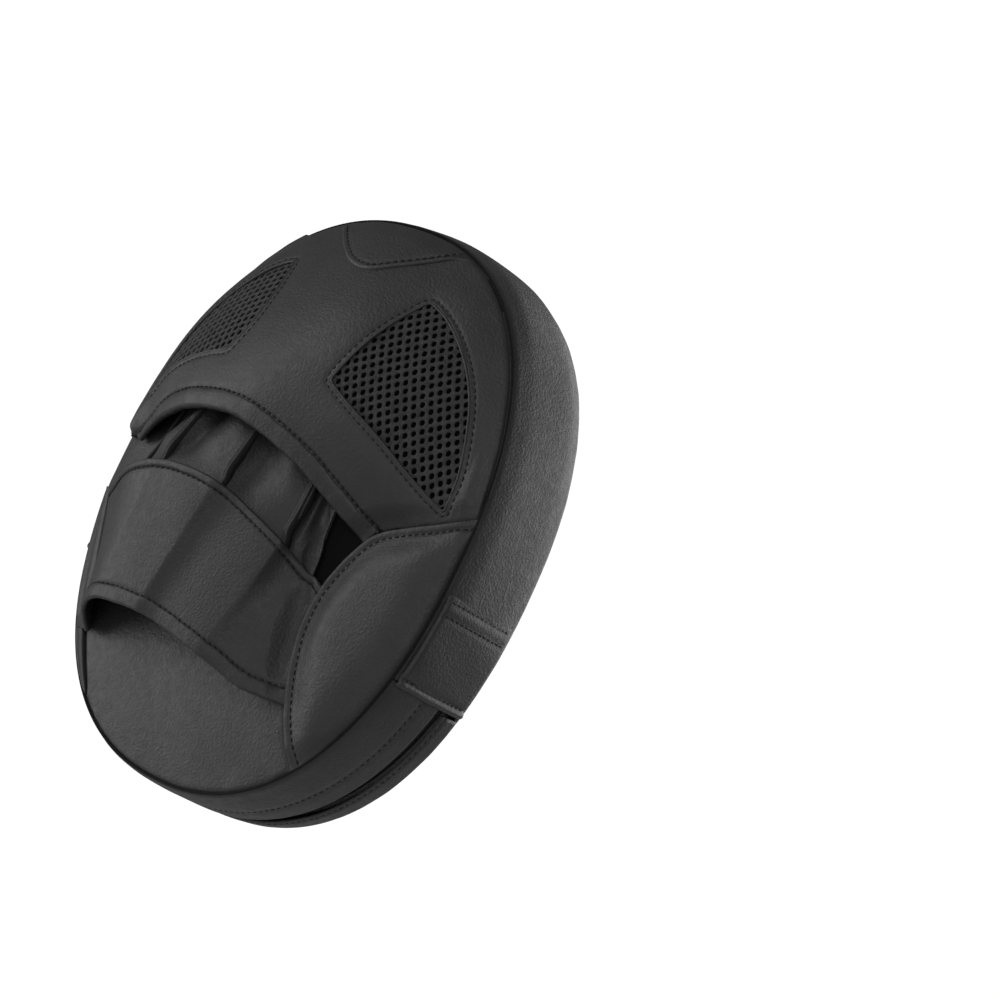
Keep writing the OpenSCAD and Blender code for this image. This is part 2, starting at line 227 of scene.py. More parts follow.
def oval(angle, inset=0.0):
    """[x, z] points of the outline at angles in degrees, from the little-finger side over the tips."""
    c, s = np.cos(np.radians(angle)), np.sin(np.radians(angle))
    power = 2 / SQUARENESS
    x = np.sign(c) * np.abs(c)**power * (HALF_WIDTH - inset)
    return np.stack([np.where(x > 0, x * OUTER_GROWTH, x),
                     np.sign(s) * np.abs(s)**power * (HALF_LENGTH - inset)], -1)


def radius_part(x, z):
    """How far out a point is: 0 in the middle, 1 on the outline."""
    x = np.where(x > 0, x / OUTER_GROWTH, x)
    return (np.abs(x / HALF_WIDTH)**SQUARENESS + np.abs(z / HALF_LENGTH)**SQUARENESS)**(1 / SQUARENESS)


def palm_at(x, z):
    """Height of the palm's plain surface."""
    return RIM_Y * np.minimum(radius_part(x, z), 1)**CROWN_POWER


def angle_at(z):
    """Angle at which the oval's right side passes a height."""
    return math.copysign(math.degrees(math.asin((abs(z) / HALF_LENGTH)**(SQUARENESS / 2))), z)


RIM = oval(np.linspace(0, 360, 1440, endpoint=False))
TIP_RIM = RIM[:720]
THUMB_RIM = RIM[600:980]

# Inner seam of the thumb panel, as [x, z] from the rim down
THUMB_SEAM = curve([[-99, 22], [-84, 14], [-70, 7.5], [-59, 1.5], [-52, -7], [-46, -20], [-42.5, -33],
                    [-42.5, -47], [-45.5, -60], [-51, -75], [-58, -88], [-68, -101]],
                   np.linspace(0, 1, 120))
THUMB_SIDE = np.vstack([THUMB_SEAM, [[-150, -110], [-150, 22]]])


def seam_side(p):
    """Distance to the thumb seam, positive on the palm's side and negative on the thumb's."""
    return signed_distance(p, THUMB_SEAM, THUMB_SIDE)


# ---------- meshes ----------

def add_object(name, points, faces, material):
    """Mesh object from millimetre points, with every face turned outwards."""
    mesh = bpy.data.meshes.new(name)
    mesh.from_pydata((np.asarray(points) / MM).tolist(), [], [list(map(int, f)) for f in faces])
    work = bmesh.new()
    work.from_mesh(mesh)
    bmesh.ops.remove_doubles(work, verts=work.verts, dist=2e-6)
    bmesh.ops.recalc_face_normals(work, faces=work.faces)
    work.to_mesh(mesh)
    work.free()
    mesh.shade_smooth()
    piece = bpy.data.objects.new(name, mesh)
    bpy.context.scene.collection.objects.link(piece)
    mesh.materials.append(material)
    return piece


def joined(parts, name):
    """One piece from several."""
    bpy.ops.object.select_all(action="DESELECT")
    for part in parts:
        part.select_set(True)
    bpy.context.view_layer.objects.active = parts[0]
    bpy.ops.object.join()
    parts[0].name = name
    return parts[0]


def upward(normals):
    """Normals turned to the hand's side."""
    return np.where(normals[..., 1:2] < 0, -normals, normals)


def grid_normals(grid, toward):
    """Unit normals of a grid of points, turned to the side that toward points to."""
    n = np.cross(np.gradient(grid, axis=0), np.gradient(grid, axis=1))
    size = np.linalg.norm(n, axis=-1, keepdims=True)
    toward = np.broadcast_to(np.asarray(toward, float), grid.shape)
    n = np.where(size > 1e-7, n / np.maximum(size, 1e-9), toward)
    flip = np.sum(n * toward, -1, keepdims=True) < 0
    return np.where(flip, -n, n)


def moved_out(base, lift):
    """Grid moved along its own normals, to the hand's side."""
    return base + lift[..., None] * grid_normals(base, HAND_SIDE)


def soften(grid, times):
    """Rounds sharp folds that run from edge to edge of a grid."""
    for _ in range(times):
        grid = grid.copy()
        grid[1:-1] = (grid[1:-1] * 2 + grid[:-2] + grid[2:]) / 4
    return grid


def shell(name, top, bottom, material, keep=None, wrap=False):
    """Closed solid between two grids of points. keep says which cells of the grid are there."""
    rows, cols = top.shape[:2]
    count = rows * cols
    index = np.arange(count).reshape(rows, cols)
    if wrap:
        index = np.hstack([index, index[:, :1]])
    quads = np.stack([index[:-1, :-1], index[:-1, 1:], index[1:, 1:], index[1:, :-1]], -1).reshape(-1, 4)
    if keep is not None:
        quads = quads[keep.reshape(-1)]
    edges = np.concatenate([quads[:, [0, 1]], quads[:, [1, 2]], quads[:, [2, 3]], quads[:, [3, 0]]])
    key = edges.min(1) * count + edges.max(1)
    _, first, times = np.unique(key, return_index=True, return_counts=True)
    border = edges[first[times == 1]]
    walls = np.stack([border[:, 1], border[:, 0], border[:, 0] + count, border[:, 1] + count], -1)
    faces = np.concatenate([quads, quads[:, ::-1] + count, walls])
    points = np.concatenate([top.reshape(-1, 3), bottom.reshape(-1, 3)])
    used, faces = np.unique(faces, return_inverse=True)
    return add_object(name, points[used], faces.reshape(-1, 4), material)


def skin(name, top, thickness, toward, material, keep=None):
    """Sheet of leather or cloth whose outer surface is a grid."""
    return shell(name, top, top - thickness * grid_normals(top, toward), material, keep)


def tube_faces(index):
    """Faces between the rings of a tube, from the numbers of its points."""
    after = np.roll(index, -1, axis=1)
    return np.stack([index[:-1], after[:-1], after[1:], index[1:]], -1).reshape(-1, 4)


def sweep(name, rings, material, closed=False):
    """Solid through a row of closed rings, each an array of points."""
    rings = np.asarray(rings)
    rows, sides = rings.shape[:2]
    index = np.arange(rows * sides).reshape(rows, sides)
    if closed:
        faces = tube_faces(np.vstack([index, index[:1]]))
    else:
        faces = list(tube_faces(index)) + [index[0], index[-1][::-1]]
    return add_object(name, rings.reshape(-1, 3), faces, material)


def path_frames(path, up, closed=False):
    """Tangents, sideways directions and normals along a path."""
    if closed:
        tangent = unit(np.roll(path, -1, 0) - np.roll(path, 1, 0))
    else:
        tangent = unit(np.gradient(path, axis=0))
    side = unit(np.cross(tangent, np.broadcast_to(up, path.shape)))
    return tangent, side, np.cross(side, tangent)


def band(name, path, up, profile, material, closed=False):
    """Solid with one cross-section, given as [sideways, up] points, along a path."""
    _, side, normal = path_frames(path, up, closed)
    profile = np.array(profile, float)
    rings = path[:, None] + (profile[:, :1] * side[:, None] + profile[:, 1:] * normal[:, None])
    return sweep(name, rings, material, closed)


def round_profile(radius_across, radius_up, sides=10):
    """Oval cross-section."""
    turn = np.linspace(0, 2 * np.pi, sides, endpoint=False)
    return np.stack([radius_across * np.cos(turn), radius_up * np.sin(turn)], 1)


def cell_middles(grid):
    """Middles of the cells of a grid of points, as [x, z]."""
    return 0.25 * (grid[:-1, :-1] + grid[1:, :-1] + grid[:-1, 1:] + grid[1:, 1:])[..., [0, 2]]


def shown_cells(grid, under):
    """True for the cells of a grid that are no further than a distance under the thumb panel."""
    return seam_side(cell_middles(grid))[0] > -under


# ---------- folded edges ----------

def hem_profile(width, radius, rise=0.5):
    """Folded hem: flat on top, round at its edge, seen with the edge at -radius and the panel at +width."""
    top = [[width, -0.25], [width - 0.5, 0.1], [width * 0.7, rise], [width * 0.35, rise + 0.15], [0, rise]]
    turn = np.radians(np.arange(100, 271, 17))
    edge = [[radius * math.cos(t), rise - radius + radius * math.sin(t)] for t in turn]
    low = rise - 2 * radius
    return top + edge + [[width * 0.5, low], [width - 0.4, low + 0.3], [width, low + 0.9]]


def edge_frames(edge, inner, under):
    """Points of a panel's edge, with the directions into the panel and out of its surface.

    keep says which points are no further than a distance under the thumb panel.
    """
    inwards = unit(inner - edge)
    along = unit(np.gradient(edge, axis=0))
    inwards = unit(inwards - np.sum(inwards * along, -1, keepdims=True) * along)
    normal = upward(unit(np.cross(along, inwards)))
    keep = seam_side(edge[:, [0, 2]])[0] > -under
    return edge[keep], inwards[keep], normal[keep], keep


def hem(name, frames, width, radius, body, rise=0.5, narrow=None):
    """Folded edge of leather along a set of frames. narrow gives its width along the way, as a part."""
    edge, inwards, normal = frames
    profile = np.array(hem_profile(width, radius, rise))
    number = np.arange(len(edge))
    wave = 1 + 0.03 * np.sin(number / 3.1) + 0.02 * np.sin(number / 1.3)
    middle = profile.mean(0)
    to_end = np.minimum(number, number[::-1])
    size = wave * np.sqrt(1 - (1 - np.clip((to_end + 0.3) / 2.5, 0, 1))**2)
    shapes = middle + size[:, None, None] * (profile - middle)
    if narrow is not None:
        inner = shapes[..., 0] > 0
        lower = 0.5 + 0.5 * narrow
        shapes = shapes * lower[:, None, None]
        shapes[..., 0] = np.where(inner, shapes[..., 0] * (narrow / lower)[:, None], shapes[..., 0])
    rings = edge[:, None] + shapes[..., :1] * inwards[:, None] + shapes[..., 1:] * normal[:, None]
    stand_in(sweep(name, rings, LEATHER_BLACK), name, body, bends=True)


# ---------- stitches ----------

STITCH_PITCH = 3.1
STITCH_LENGTH = 2.25
STITCH_RADIUS = 0.36
STITCH_SIDES = 6
# Shape of a stitch: places along it, and its thickness and height there, as parts of its length and radius
STATIONS = np.array([-0.5, -0.4, -0.2, 0, 0.2, 0.4, 0.5])
THICKNESS = np.array([0.35, 0.8, 1, 1, 1, 0.8, 0.35])
HEIGHT = np.array([-0.75, -0.15, 0.3, 0.42, 0.3, -0.15, -0.75])


def stitch_points(path, up, closed=False):
    """Points and faces of a row of stitches that lie on a path and dip in at their ends."""
    path = np.array(path, float)
    up = np.broadcast_to(up, path.shape)
    both = resample(np.hstack([path, up]), STITCH_PITCH, closed)
    path, up = both[:, :3], both[:, 3:]
    tangent, side, normal = path_frames(path, up, closed)
    radii, drop = THICKNESS * STITCH_RADIUS, HEIGHT * STITCH_RADIUS
    turn = np.linspace(0, 2 * np.pi, STITCH_SIDES, endpoint=False)
    index = np.arange(len(STATIONS) * STITCH_SIDES).reshape(-1, STITCH_SIDES)
    points, faces = [], []
    for i in range(len(path)):
        length = STITCH_LENGTH * (1 + 0.08 * math.sin(i * 2.4))
        lean = 0.07 * math.sin(i * 1.7)
        middle = (path[i] + (STATIONS * length)[:, None] * (tangent[i] + lean * side[i])
                  + drop[:, None] * normal[i])
        ring = (np.cos(turn)[None, :, None] * side[i] + np.sin(turn)[None, :, None] * normal[i])
        points.append((middle[:, None] + radii[:, None, None] * ring).reshape(-1, 3))
        mine = index + i * index.size
        faces += tube_faces(mine).tolist() + [mine[0].tolist(), mine[-1][::-1].tolist()]
    return np.concatenate(points), faces


def stitches(name, rows, body, bends=False):
    """One piece of thread from rows of (path, up, closed)."""
    points, faces, count = [], [], 0
    for path, up, closed in rows:
        p, f = stitch_points(path, up, closed)
        points.append(p)
        faces += [[count + v for v in face] for face in f]
        count += len(p)
    with_body(add_object(name, np.concatenate(points), faces, THREAD), body, bends)


# ---------- materials ----------

def new_material(name):
    """Material with its node tree and its shader."""
    material = bpy.data.materials.new(name)
    material.use_nodes = True
    tree = material.node_tree
    return material, tree, tree.nodes["Principled BSDF"]


def add_node(tree, kind, **values):
    """Node with the values of its inputs or settings."""
    node = tree.nodes.new(kind)
    for key, value in values.items():
        if key in node.inputs:
            node.inputs[key].default_value = value
        else:
            setattr(node, key, value)
    return node


def texture(tree, kind, size, **values):
    """Texture whose features are about a size across, in millimetres."""
    place = tree.nodes.get("Texture Coordinate") or add_node(tree, "ShaderNodeTexCoord")
    node = add_node(tree, kind, Scale=MM / size, **values)
    tree.links.new(place.outputs["Object"], node.inputs["Vector"])
    return node


def mixed(tree, factor, low, high):
    """Colour between two colours, by a factor output."""
    node = add_node(tree, "ShaderNodeMix", data_type="RGBA")
    tree.links.new(factor, node.inputs["Factor"])
    node.inputs["A"].default_value = (*low, 1)
    node.inputs["B"].default_value = (*high, 1)
    return node.outputs["Result"]


def ranged(tree, value, low, high, from_low=0.0, from_high=1.0):
    """Output brought from one range of numbers to another."""
    node = add_node(tree, "ShaderNodeMapRange")
    tree.links.new(value, node.inputs["Value"])
    node.inputs["From Min"].default_value = from_low
    node.inputs["From Max"].default_value = from_high
    node.inputs["To Min"].default_value = low
    node.inputs["To Max"].default_value = high
    return node.outputs["Result"]


def bumped(tree, shader, height, depth, strength=1.0, under=None):
    """Bump of a depth in millimetres, on top of another bump if there is one."""
    node = add_node(tree, "ShaderNodeBump", Strength=strength, Distance=depth / MM)
    tree.links.new(height, node.inputs["Height"])
    if under is not None:
        tree.links.new(under, node.inputs["Normal"])
    tree.links.new(node.outputs["Normal"], shader.inputs["Normal"])
    return node.outputs["Normal"]


def coloured(tree, shader, colour, rough):
    """Gives the shader its colour and roughness."""
    tree.links.new(colour, shader.inputs["Base Color"])
    tree.links.new(rough, shader.inputs["Roughness"])


def leather_material(name, dark, light, gloss):
    """Coated black leather: fine pebble grain, soft creases, and edges rubbed a little lighter."""
    material, tree, shader = new_material(name)
    blotch = texture(tree, "ShaderNodeTexNoise", 14, Detail=3.0)
    creases = texture(tree, "ShaderNodeTexNoise", 3.2, Detail=5.0, Roughness=0.6)
    pebbles = texture(tree, "ShaderNodeTexVoronoi", 1.05, feature="SMOOTH_F1")
    fine = texture(tree, "ShaderNodeTexNoise", 0.45, Detail=2.0)
    colour = mixed(tree, ranged(tree, blotch.outputs["Fac"], 0, 1, 0.3, 0.7), dark, light)
    edges = add_node(tree, "ShaderNodeNewGeometry")
    worn = ranged(tree, edges.outputs["Pointiness"], 0, 0.55, 0.52, 0.62)
    rubbed = add_node(tree, "ShaderNodeMix", data_type="RGBA")
    tree.links.new(worn, rubbed.inputs["Factor"])
    tree.links.new(colour, rubbed.inputs["A"])
    rubbed.inputs["B"].default_value = (*[c * 2.2 for c in light], 1)
    coloured(tree, shader, rubbed.outputs["Result"],
             ranged(tree, creases.outputs["Fac"], gloss - 0.05, gloss + 0.07, 0.3, 0.7))
    soft = bumped(tree, shader, creases.outputs["Fac"], 0.12, 0.5)
    pebbled = bumped(tree, shader, pebbles.outputs["Distance"], 0.2, 0.8, soft)
    bumped(tree, shader, fine.outputs["Fac"], 0.08, 0.5, pebbled)
    return material


def cloth_material(name, dark, light, pitch, rough=0.9, shine=0.5):
    """Plain weave."""
    material, tree, shader = new_material(name)
    shader.inputs["Specular IOR Level"].default_value = shine
    warp = texture(tree, "ShaderNodeTexWave", pitch, bands_direction="X", Distortion=0.4)
    weft = texture(tree, "ShaderNodeTexWave", pitch, bands_direction="Z", Distortion=0.4)
    both = add_node(tree, "ShaderNodeMath", operation="MULTIPLY")
    tree.links.new(warp.outputs["Fac"], both.inputs[0])
    tree.links.new(weft.outputs["Fac"], both.inputs[1])
    lint = texture(tree, "ShaderNodeTexNoise", 2.5, Detail=4.0).outputs["Fac"]
    coloured(tree, shader, mixed(tree, ranged(tree, lint, 0, 1, 0.3, 0.7), dark, light),
             ranged(tree, lint, rough - 0.08, rough))
    bumped(tree, shader, both.outputs["Value"], 0.2, 0.6)
    return material


def foam_material(name, dark, light, cell):
    """Open foam with small cells."""
    material, tree, shader = new_material(name)
    cells = texture(tree, "ShaderNodeTexVoronoi", cell).outputs["Distance"]
    coloured(tree, shader, mixed(tree, cells, dark, light), ranged(tree, cells, 0.85, 0.98))
    bumped(tree, shader, cells, 0.3, 0.7)
    return material


def thread_material():
    """Twisted black polyester thread."""
    material, tree, shader = new_material("thread_black")
    ply = texture(tree, "ShaderNodeTexWave", 0.5, bands_direction="DIAGONAL", Distortion=1.0).outputs["Fac"]
    coloured(tree, shader, mixed(tree, ply, (0.004, 0.004, 0.004), (0.022, 0.022, 0.023)),
             ranged(tree, ply, 0.45, 0.7))
    bumped(tree, shader, ply, 0.12, 0.7)
    return material


def print_material():
    """White ink printed on the grain, a little thin in places."""
    material, tree, shader = new_material("print_white")
    wear = texture(tree, "ShaderNodeTexNoise", 1.2, Detail=6.0).outputs["Fac"]
    thin = ranged(tree, wear, 0, 1, 0.25, 0.45)
    coloured(tree, shader, mixed(tree, thin, (0.5, 0.5, 0.5), (0.82, 0.82, 0.81)),
             ranged(tree, wear, 0.5, 0.65))
    bumped(tree, shader, wear, 0.06, 0.5)
    return material


LEATHER_BLACK = leather_material("leather_black", (0.0225, 0.0225, 0.023), (0.0295, 0.0295, 0.030), 0.49)
MESH_BLACK = cloth_material("mesh_black", (0.020, 0.020, 0.021), (0.060, 0.060, 0.062), 0.5, 0.7)
# Near-black cloth: the hood's lining, darkened to paint the shade seen through the mesh holes, and the
# painted shade sheet in the pocket
LINING_AND_SHADE_BLACK = cloth_material("lining_and_painted_shade", (0.0015, 0.0015, 0.0015), (0.003, 0.003, 0.003), 0.9, 0.98, 0.15)
CLOTH_GREY = cloth_material("cloth_grey", (0.02, 0.02, 0.021), (0.04, 0.04, 0.042), 0.8)
THREAD = thread_material()
# Near-black cord material that paints the shadow in the rim seam's valley
SEAM_SHADOW_BLACK = cloth_material("painted_seam_shadow", (0.0015, 0.0015, 0.0015), (0.0025, 0.0025, 0.0025), 0.4, 0.98)
PRINT_WHITE = print_material()
SOFT_FOAM = foam_material("soft_foam", (0.16, 0.16, 0.17), (0.32, 0.32, 0.34), 0.9)
FIRM_FOAM = foam_material("firm_foam", (0.09, 0.09, 0.10), (0.2, 0.2, 0.22), 1.6)


# ---------- which body a piece moves with ----------


def with_body(piece, body, bends=False):
    """Makes a piece move with a body. A piece that bends instead has its place baked into its mesh and is
    not attached to the body.
    """
    if bends:
        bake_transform(piece)
    else:
        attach(piece, body)


def stand_in(piece, node, body, bends=False):
    """Puts a piece in the place of a CAD node."""
    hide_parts(node)
    with_body(piece, body, bends)


# ---------- flat panels ----------

EDGE_ROWS = np.array([0, 0.35, 0.75, 1.2, 1.7, 2.3, 3.0, 3.8, 4.8, 6.0, 7.5])
# Angles at which the strip on the little-finger side starts and ends, and its width
STRIP_FROM = -58.0
STRIP_TO = 4.0
STRIP_WIDTH = 7.0
# Angles of the thumb panel's two corners on the rim, and how far along the thumb seam they are
THUMB_CORNERS = (168.5, 236.0)
THUMB_ENDS = (0.5, 157)
# Flat band of the thumb panel between its edge and its row of stitches
THUMB_BAND = 3.6
THUMB_PADDING = 3.0


def fan(outline, centre, rows=34, step=1.3):
    """Grid of [x, z] points from an outline to its middle, close together near the outline."""
    outline = resample(outline, step, closed=True)
    centre = np.array(centre, float)
    reach = np.linalg.norm(outline - centre, axis=1)
    toward = (centre - outline) / reach[:, None]
    near = np.minimum(EDGE_ROWS[:, None], reach * 0.4)
    far = near[-1] + (reach - near[-1]) * (np.arange(1, rows + 1)[:, None] / rows)
    depth = np.vstack([near, far])
    return outline + depth[..., None] * toward


def strip_width(s):
    """Width of the strip on the little-finger side, at a part of the way up it."""
    return STRIP_WIDTH * np.sin(np.pi * s)**0.4


def strip_line(s, inset):
    """Line along the strip, at an inset from the outline."""
    return oval(STRIP_FROM + (STRIP_TO - STRIP_FROM) * s, inset)


def palm_panel():
    """Crowned palm, padded, with its edge turned into the rim seam."""
    s = np.linspace(0, 1, 60)
    outline = np.vstack([oval(np.linspace(STRIP_TO, THUMB_CORNERS[0], 200), RIM_INSET),
                         THUMB_SEAM[(radius_part(*THUMB_SEAM.T) < 0.997)],
                         oval(np.linspace(THUMB_CORNERS[1], 360 + STRIP_FROM, 90), RIM_INSET),
                         strip_line(s, strip_width(s))[1:-1]])
    grid = fan(outline, (10, -20))
    d, along = line_distance(grid, outline, closed=True)
    x, z = grid[..., 0], grid[..., 1]
    y = palm_at(x, z) + swell(x, z, 0.35, 0.6) * ease(d / 15) - roll_off(d, 2.6, 1.5) + pucker(along, d)
    low = np.minimum(y - LEATHER, palm_at(x, z) - LEATHER)
    piece = shell("palm_panel", xyz(x, y, z), xyz(x, low, z), LEATHER_BLACK, wrap=True)
    stand_in(piece, "palm_panel", "hand_shell")


def thumb_ends(along):
    """1 along the middle of the thumb panel, and 0 at its two corners."""
    return ease((along - THUMB_ENDS[0]) / 9) * ease((THUMB_ENDS[1] - along) / 11)


def thumb_height(p):
    """Top of the thumb panel, which bulges between its stitched seam and the rim."""
    x, z = p[..., 0], p[..., 1]
    seam_d, along = line_distance(p, THUMB_SEAM)
    rim_d, _ = line_distance(p, THUMB_RIM)
    past = np.maximum(seam_d - THUMB_BAND, 0)
    full = (1 - np.exp(-(rim_d / 11)**2)) * (1 - np.exp(-(past / 8)**2))
    y = palm_at(x, z) + THUMB_PADDING - 0.9 + 3.8 * full + swell(x, z, 0.6, 2.2) * full
    rim_d = np.maximum(rim_d - RIM_INSET, 0)
    y -= roll_off(seam_d, 1.1, 1.4) + roll_off(rim_d, 4.0, 3.0) + roll_off(rim_d, 0.9, 1.4)
    y = palm_at(x, z) + 0.2 + (y - palm_at(x, z) - 0.2) * thumb_ends(along)
    y -= groove(seam_d - THUMB_BAND, 0.9, 0.7)
    return y + pucker(along, np.abs(seam_d - THUMB_BAND), 0.3, 7)


def thumb_panel():
    """Padded panel between the thumb seam and the rim, as rows that run from the seam to the rim."""
    seam = THUMB_SEAM[radius_part(*THUMB_SEAM.T) < 1]
    seam = curve(seam, np.linspace(0, 1, 170))
    ends = 180 - angle_at(seam[0, 1]), 180 - angle_at(seam[-1, 1])
    rim = oval(np.linspace(*ends, 170), RIM_INSET)
    across = 0.5 - 0.5 * np.cos(np.pi * np.linspace(0, 1, 52))
    grid = seam[:, None] + (rim - seam)[:, None] * across[None, :, None]
    x, z = grid[..., 0], grid[..., 1]
    y = thumb_height(grid)
    low = np.minimum(y - 0.4, palm_at(x, z) + THUMB_PADDING - LEATHER)
    piece = shell("thumb_panel", xyz(x, y, z), xyz(x, low, z), LEATHER_BLACK)
    stand_in(piece, "thumb_panel", "hand_shell")


def thumb_stitches():
    """Row of stitches beside the thumb seam."""
    row = offset_line(THUMB_SEAM, -THUMB_BAND)
    row = row[radius_part(*row.T) < 0.985]
    path = xyz(row[:, 0], thumb_height(row) + 0.15, row[:, 1])
    stitches("thumb_panel_stitches", [(path, HAND_SIDE, False)], "hand_shell")


def rim_seam_shadow():
    """Painted shadow: a near-black cord laid in the valley where the hand side is sewn to the walls."""
    path = oval(np.linspace(0, 360, 720, endpoint=False), 0.75)
    points = xyz(path[:, 0], RIM_Y, path[:, 1])
    piece = band("rim_seam_shadow", points, HAND_SIDE, round_profile(0.55, 0.55, 8), SEAM_SHADOW_BLACK, closed=True)
    with_body(piece, "hand_shell")


def outer_panel():
    """Narrow strip along the little-finger side, folded lengthwise."""
    s = np.linspace(0.004, 0.996, 220)
    across = np.linspace(0, 1, 15)
    width = strip_width(s) - SEWN_GAP
    outer, inner = strip_line(s, 0.5), strip_line(s, width)
    grid = outer[:, None] + (inner - outer)[:, None] * across[None, :, None]
    d = np.minimum(across, 1 - across) * width[:, None]
    x, z = grid[..., 0], grid[..., 1]
    fold = 0.8 * np.sin(np.pi * across)[None] + 0.5 * np.sin(3 * np.pi * across)[None]
    y = palm_at(x, z) + fold * ease(width / 5)[:, None] - roll_off(d, 1.8, 1.5)
    piece = shell("outer_panel", xyz(x, y, z), xyz(x, y - 1.2, z), LEATHER_BLACK)
    stand_in(piece, "outer_panel", "hand_shell")


# ---------- walls ----------

# About the length of the way round the mitt
WALL_LENGTH = 710
WALL_STEP = 1.5
WALL_TOP_Y = RIM_Y - 0.4
WALL_FRONT_Y = FACE_RIM_Y + 0.6
TAB_ANGLE = -angle_at(TAB_LOW_Z)
# Rows of stitches on the wrist side: on the hand unit's wall and under the slit
WRIST_ROW_Y = RIM_Y + 0.66 * (HAND_BACK_Y - RIM_Y)
PAD_ROW = 2.2


def wall_lift(y, x):
    """How far the filled wall bulges at a height, by its place across the mitt."""
    f = np.clip((y - RIM_Y) / (FACE_RIM_Y - RIM_Y), 0, 1)
    side = 1 + OUTER_BULGE * ease(x / HALF_WIDTH)
    return 1.5 * side[:, None] * (1 - np.abs(2 * f - 1)**2.4)


def stood_out(path, out, y, stand):
    """Grid of wall points at heights y that stand out of a path, and the directions outwards."""
    point = path[:, None] + out[:, None] * stand[..., None]
    outwards = xyz(out[:, 0], 0, out[:, 1])
    top = xyz(point[..., 0], y, point[..., 1])
    return top, np.broadcast_to(outwards[:, None], top.shape)


def wall_grid(start, stop, top_y, low_y, rise, rows=30):
    """Grid round the oval between two angles. rise gives how far each row stands out of the plain wall."""
    count = max(8, int(abs(stop - start) / 360 * WALL_LENGTH / WALL_STEP))
    v = 0.5 - 0.5 * np.cos(np.pi * np.linspace(0, 1, rows))
    y = top_y + (low_y - top_y) * v
    path = oval(np.linspace(start, stop, count))
    halves = np.array([HALF_WIDTH, HALF_LENGTH])
    out = unit(np.sign(path) * np.abs(path / halves)**(SQUARENESS - 1) / halves)
    stand = wall_lift(y, path[:, 0]) + rise(distances_along(path)[:, None], y[None])
    return stood_out(path, out, y, stand)


def wall(name, ends, top_y, low_y, rise, rows=30):
    """Leather wall between two angles."""
    top, out = wall_grid(*ends, top_y, low_y, rise, rows)
    return skin(name, top, LEATHER, out, LEATHER_BLACK)


def side_rise(along, y):
    """Fullness and gathers of the wall round the fingers' end."""
    top_d, low_d = RIM_Y - y, y - FACE_RIM_Y
    gather = pucker(along, top_d, 0.16, 6) + pucker(along + 50, low_d, 0.16, 6)
    slow = 1.0 + 0.45 * np.sin(along / 31 + y / 26) + 0.25 * np.sin(along / 14.5 - y / 19)
    return (slow * ease(top_d / 12) * ease(low_d / 12) + gather
            - roll_off(top_d, 2.8, 1.8) - roll_off(low_d, 3.2, 2.0))


def wrist_rise(along, y):
    """Waves and seams of the hand unit's wall on the wrist side."""
    top_d, low_d = RIM_Y - y, y - HAND_BACK_Y
    slow = 0.4 * np.sin(along / 23 + 1) * ease(top_d / 8)
    return (slow + pucker(along, top_d, 0.18, 5) - roll_off(top_d, 2.8, 1.8) - roll_off(low_d, 1.4, 0.9)
            - groove(y - WRIST_ROW_Y, 1.0, 0.6) + pucker(along + 20, np.abs(y - WRIST_ROW_Y), 0.14, 3.5))


def pad_rise(along, y):
    """Waves and seams of the striking pad's wall on the wrist side."""
    top_d, low_d = PAD_BACK_Y - y, y - FACE_RIM_Y
    return (0.3 * np.sin(along / 19) - roll_off(top_d, 1.5, 1.0) - groove(top_d - PAD_ROW, 0.7, 0.5)
            + pucker(along, np.abs(top_d - PAD_ROW), 0.12, 3) - roll_off(low_d, 3.0, 2.2)
            + pucker(along + 9, low_d, 0.15, 4))


def slit_ends(gap):
    """Angles of the wrist side's two ends, at a gap from the tabs."""
    return 180 + TAB_ANGLE + gap, 360 - TAB_ANGLE - gap


def side_gusset():
    """Padded wall round the fingers' end, from the hand side to the striking face."""
    ends = -TAB_ANGLE + 0.12, 180 + TAB_ANGLE - 0.12
    piece = wall("side_gusset", ends, WALL_TOP_Y, WALL_FRONT_Y, side_rise)
    stand_in(piece, "side_gusset", "striking_pad", bends=True)


def wrist_walls():
    """Walls of the hand unit and of the striking pad on the wrist side, either side of the slit."""
    piece = wall("wrist_gusset", slit_ends(0.12), WALL_TOP_Y, HAND_BACK_Y, wrist_rise)
    stand_in(piece, "wrist_gusset", "hand_shell")
    piece = wall("pad_gusset", slit_ends(1.7), PAD_BACK_Y, WALL_FRONT_Y, pad_rise, rows=22)
    stand_in(piece, "pad_gusset", "striking_pad")


def wall_row(name, ends, y, rise, body):
    """Row of stitches round the wall at one height."""
    top, out = wall_grid(*ends, y, y - 0.01, rise, rows=2)
    stitches(name, [(top[:, 0] + 0.1 * out[:, 0], out[:, 0], False)], body)


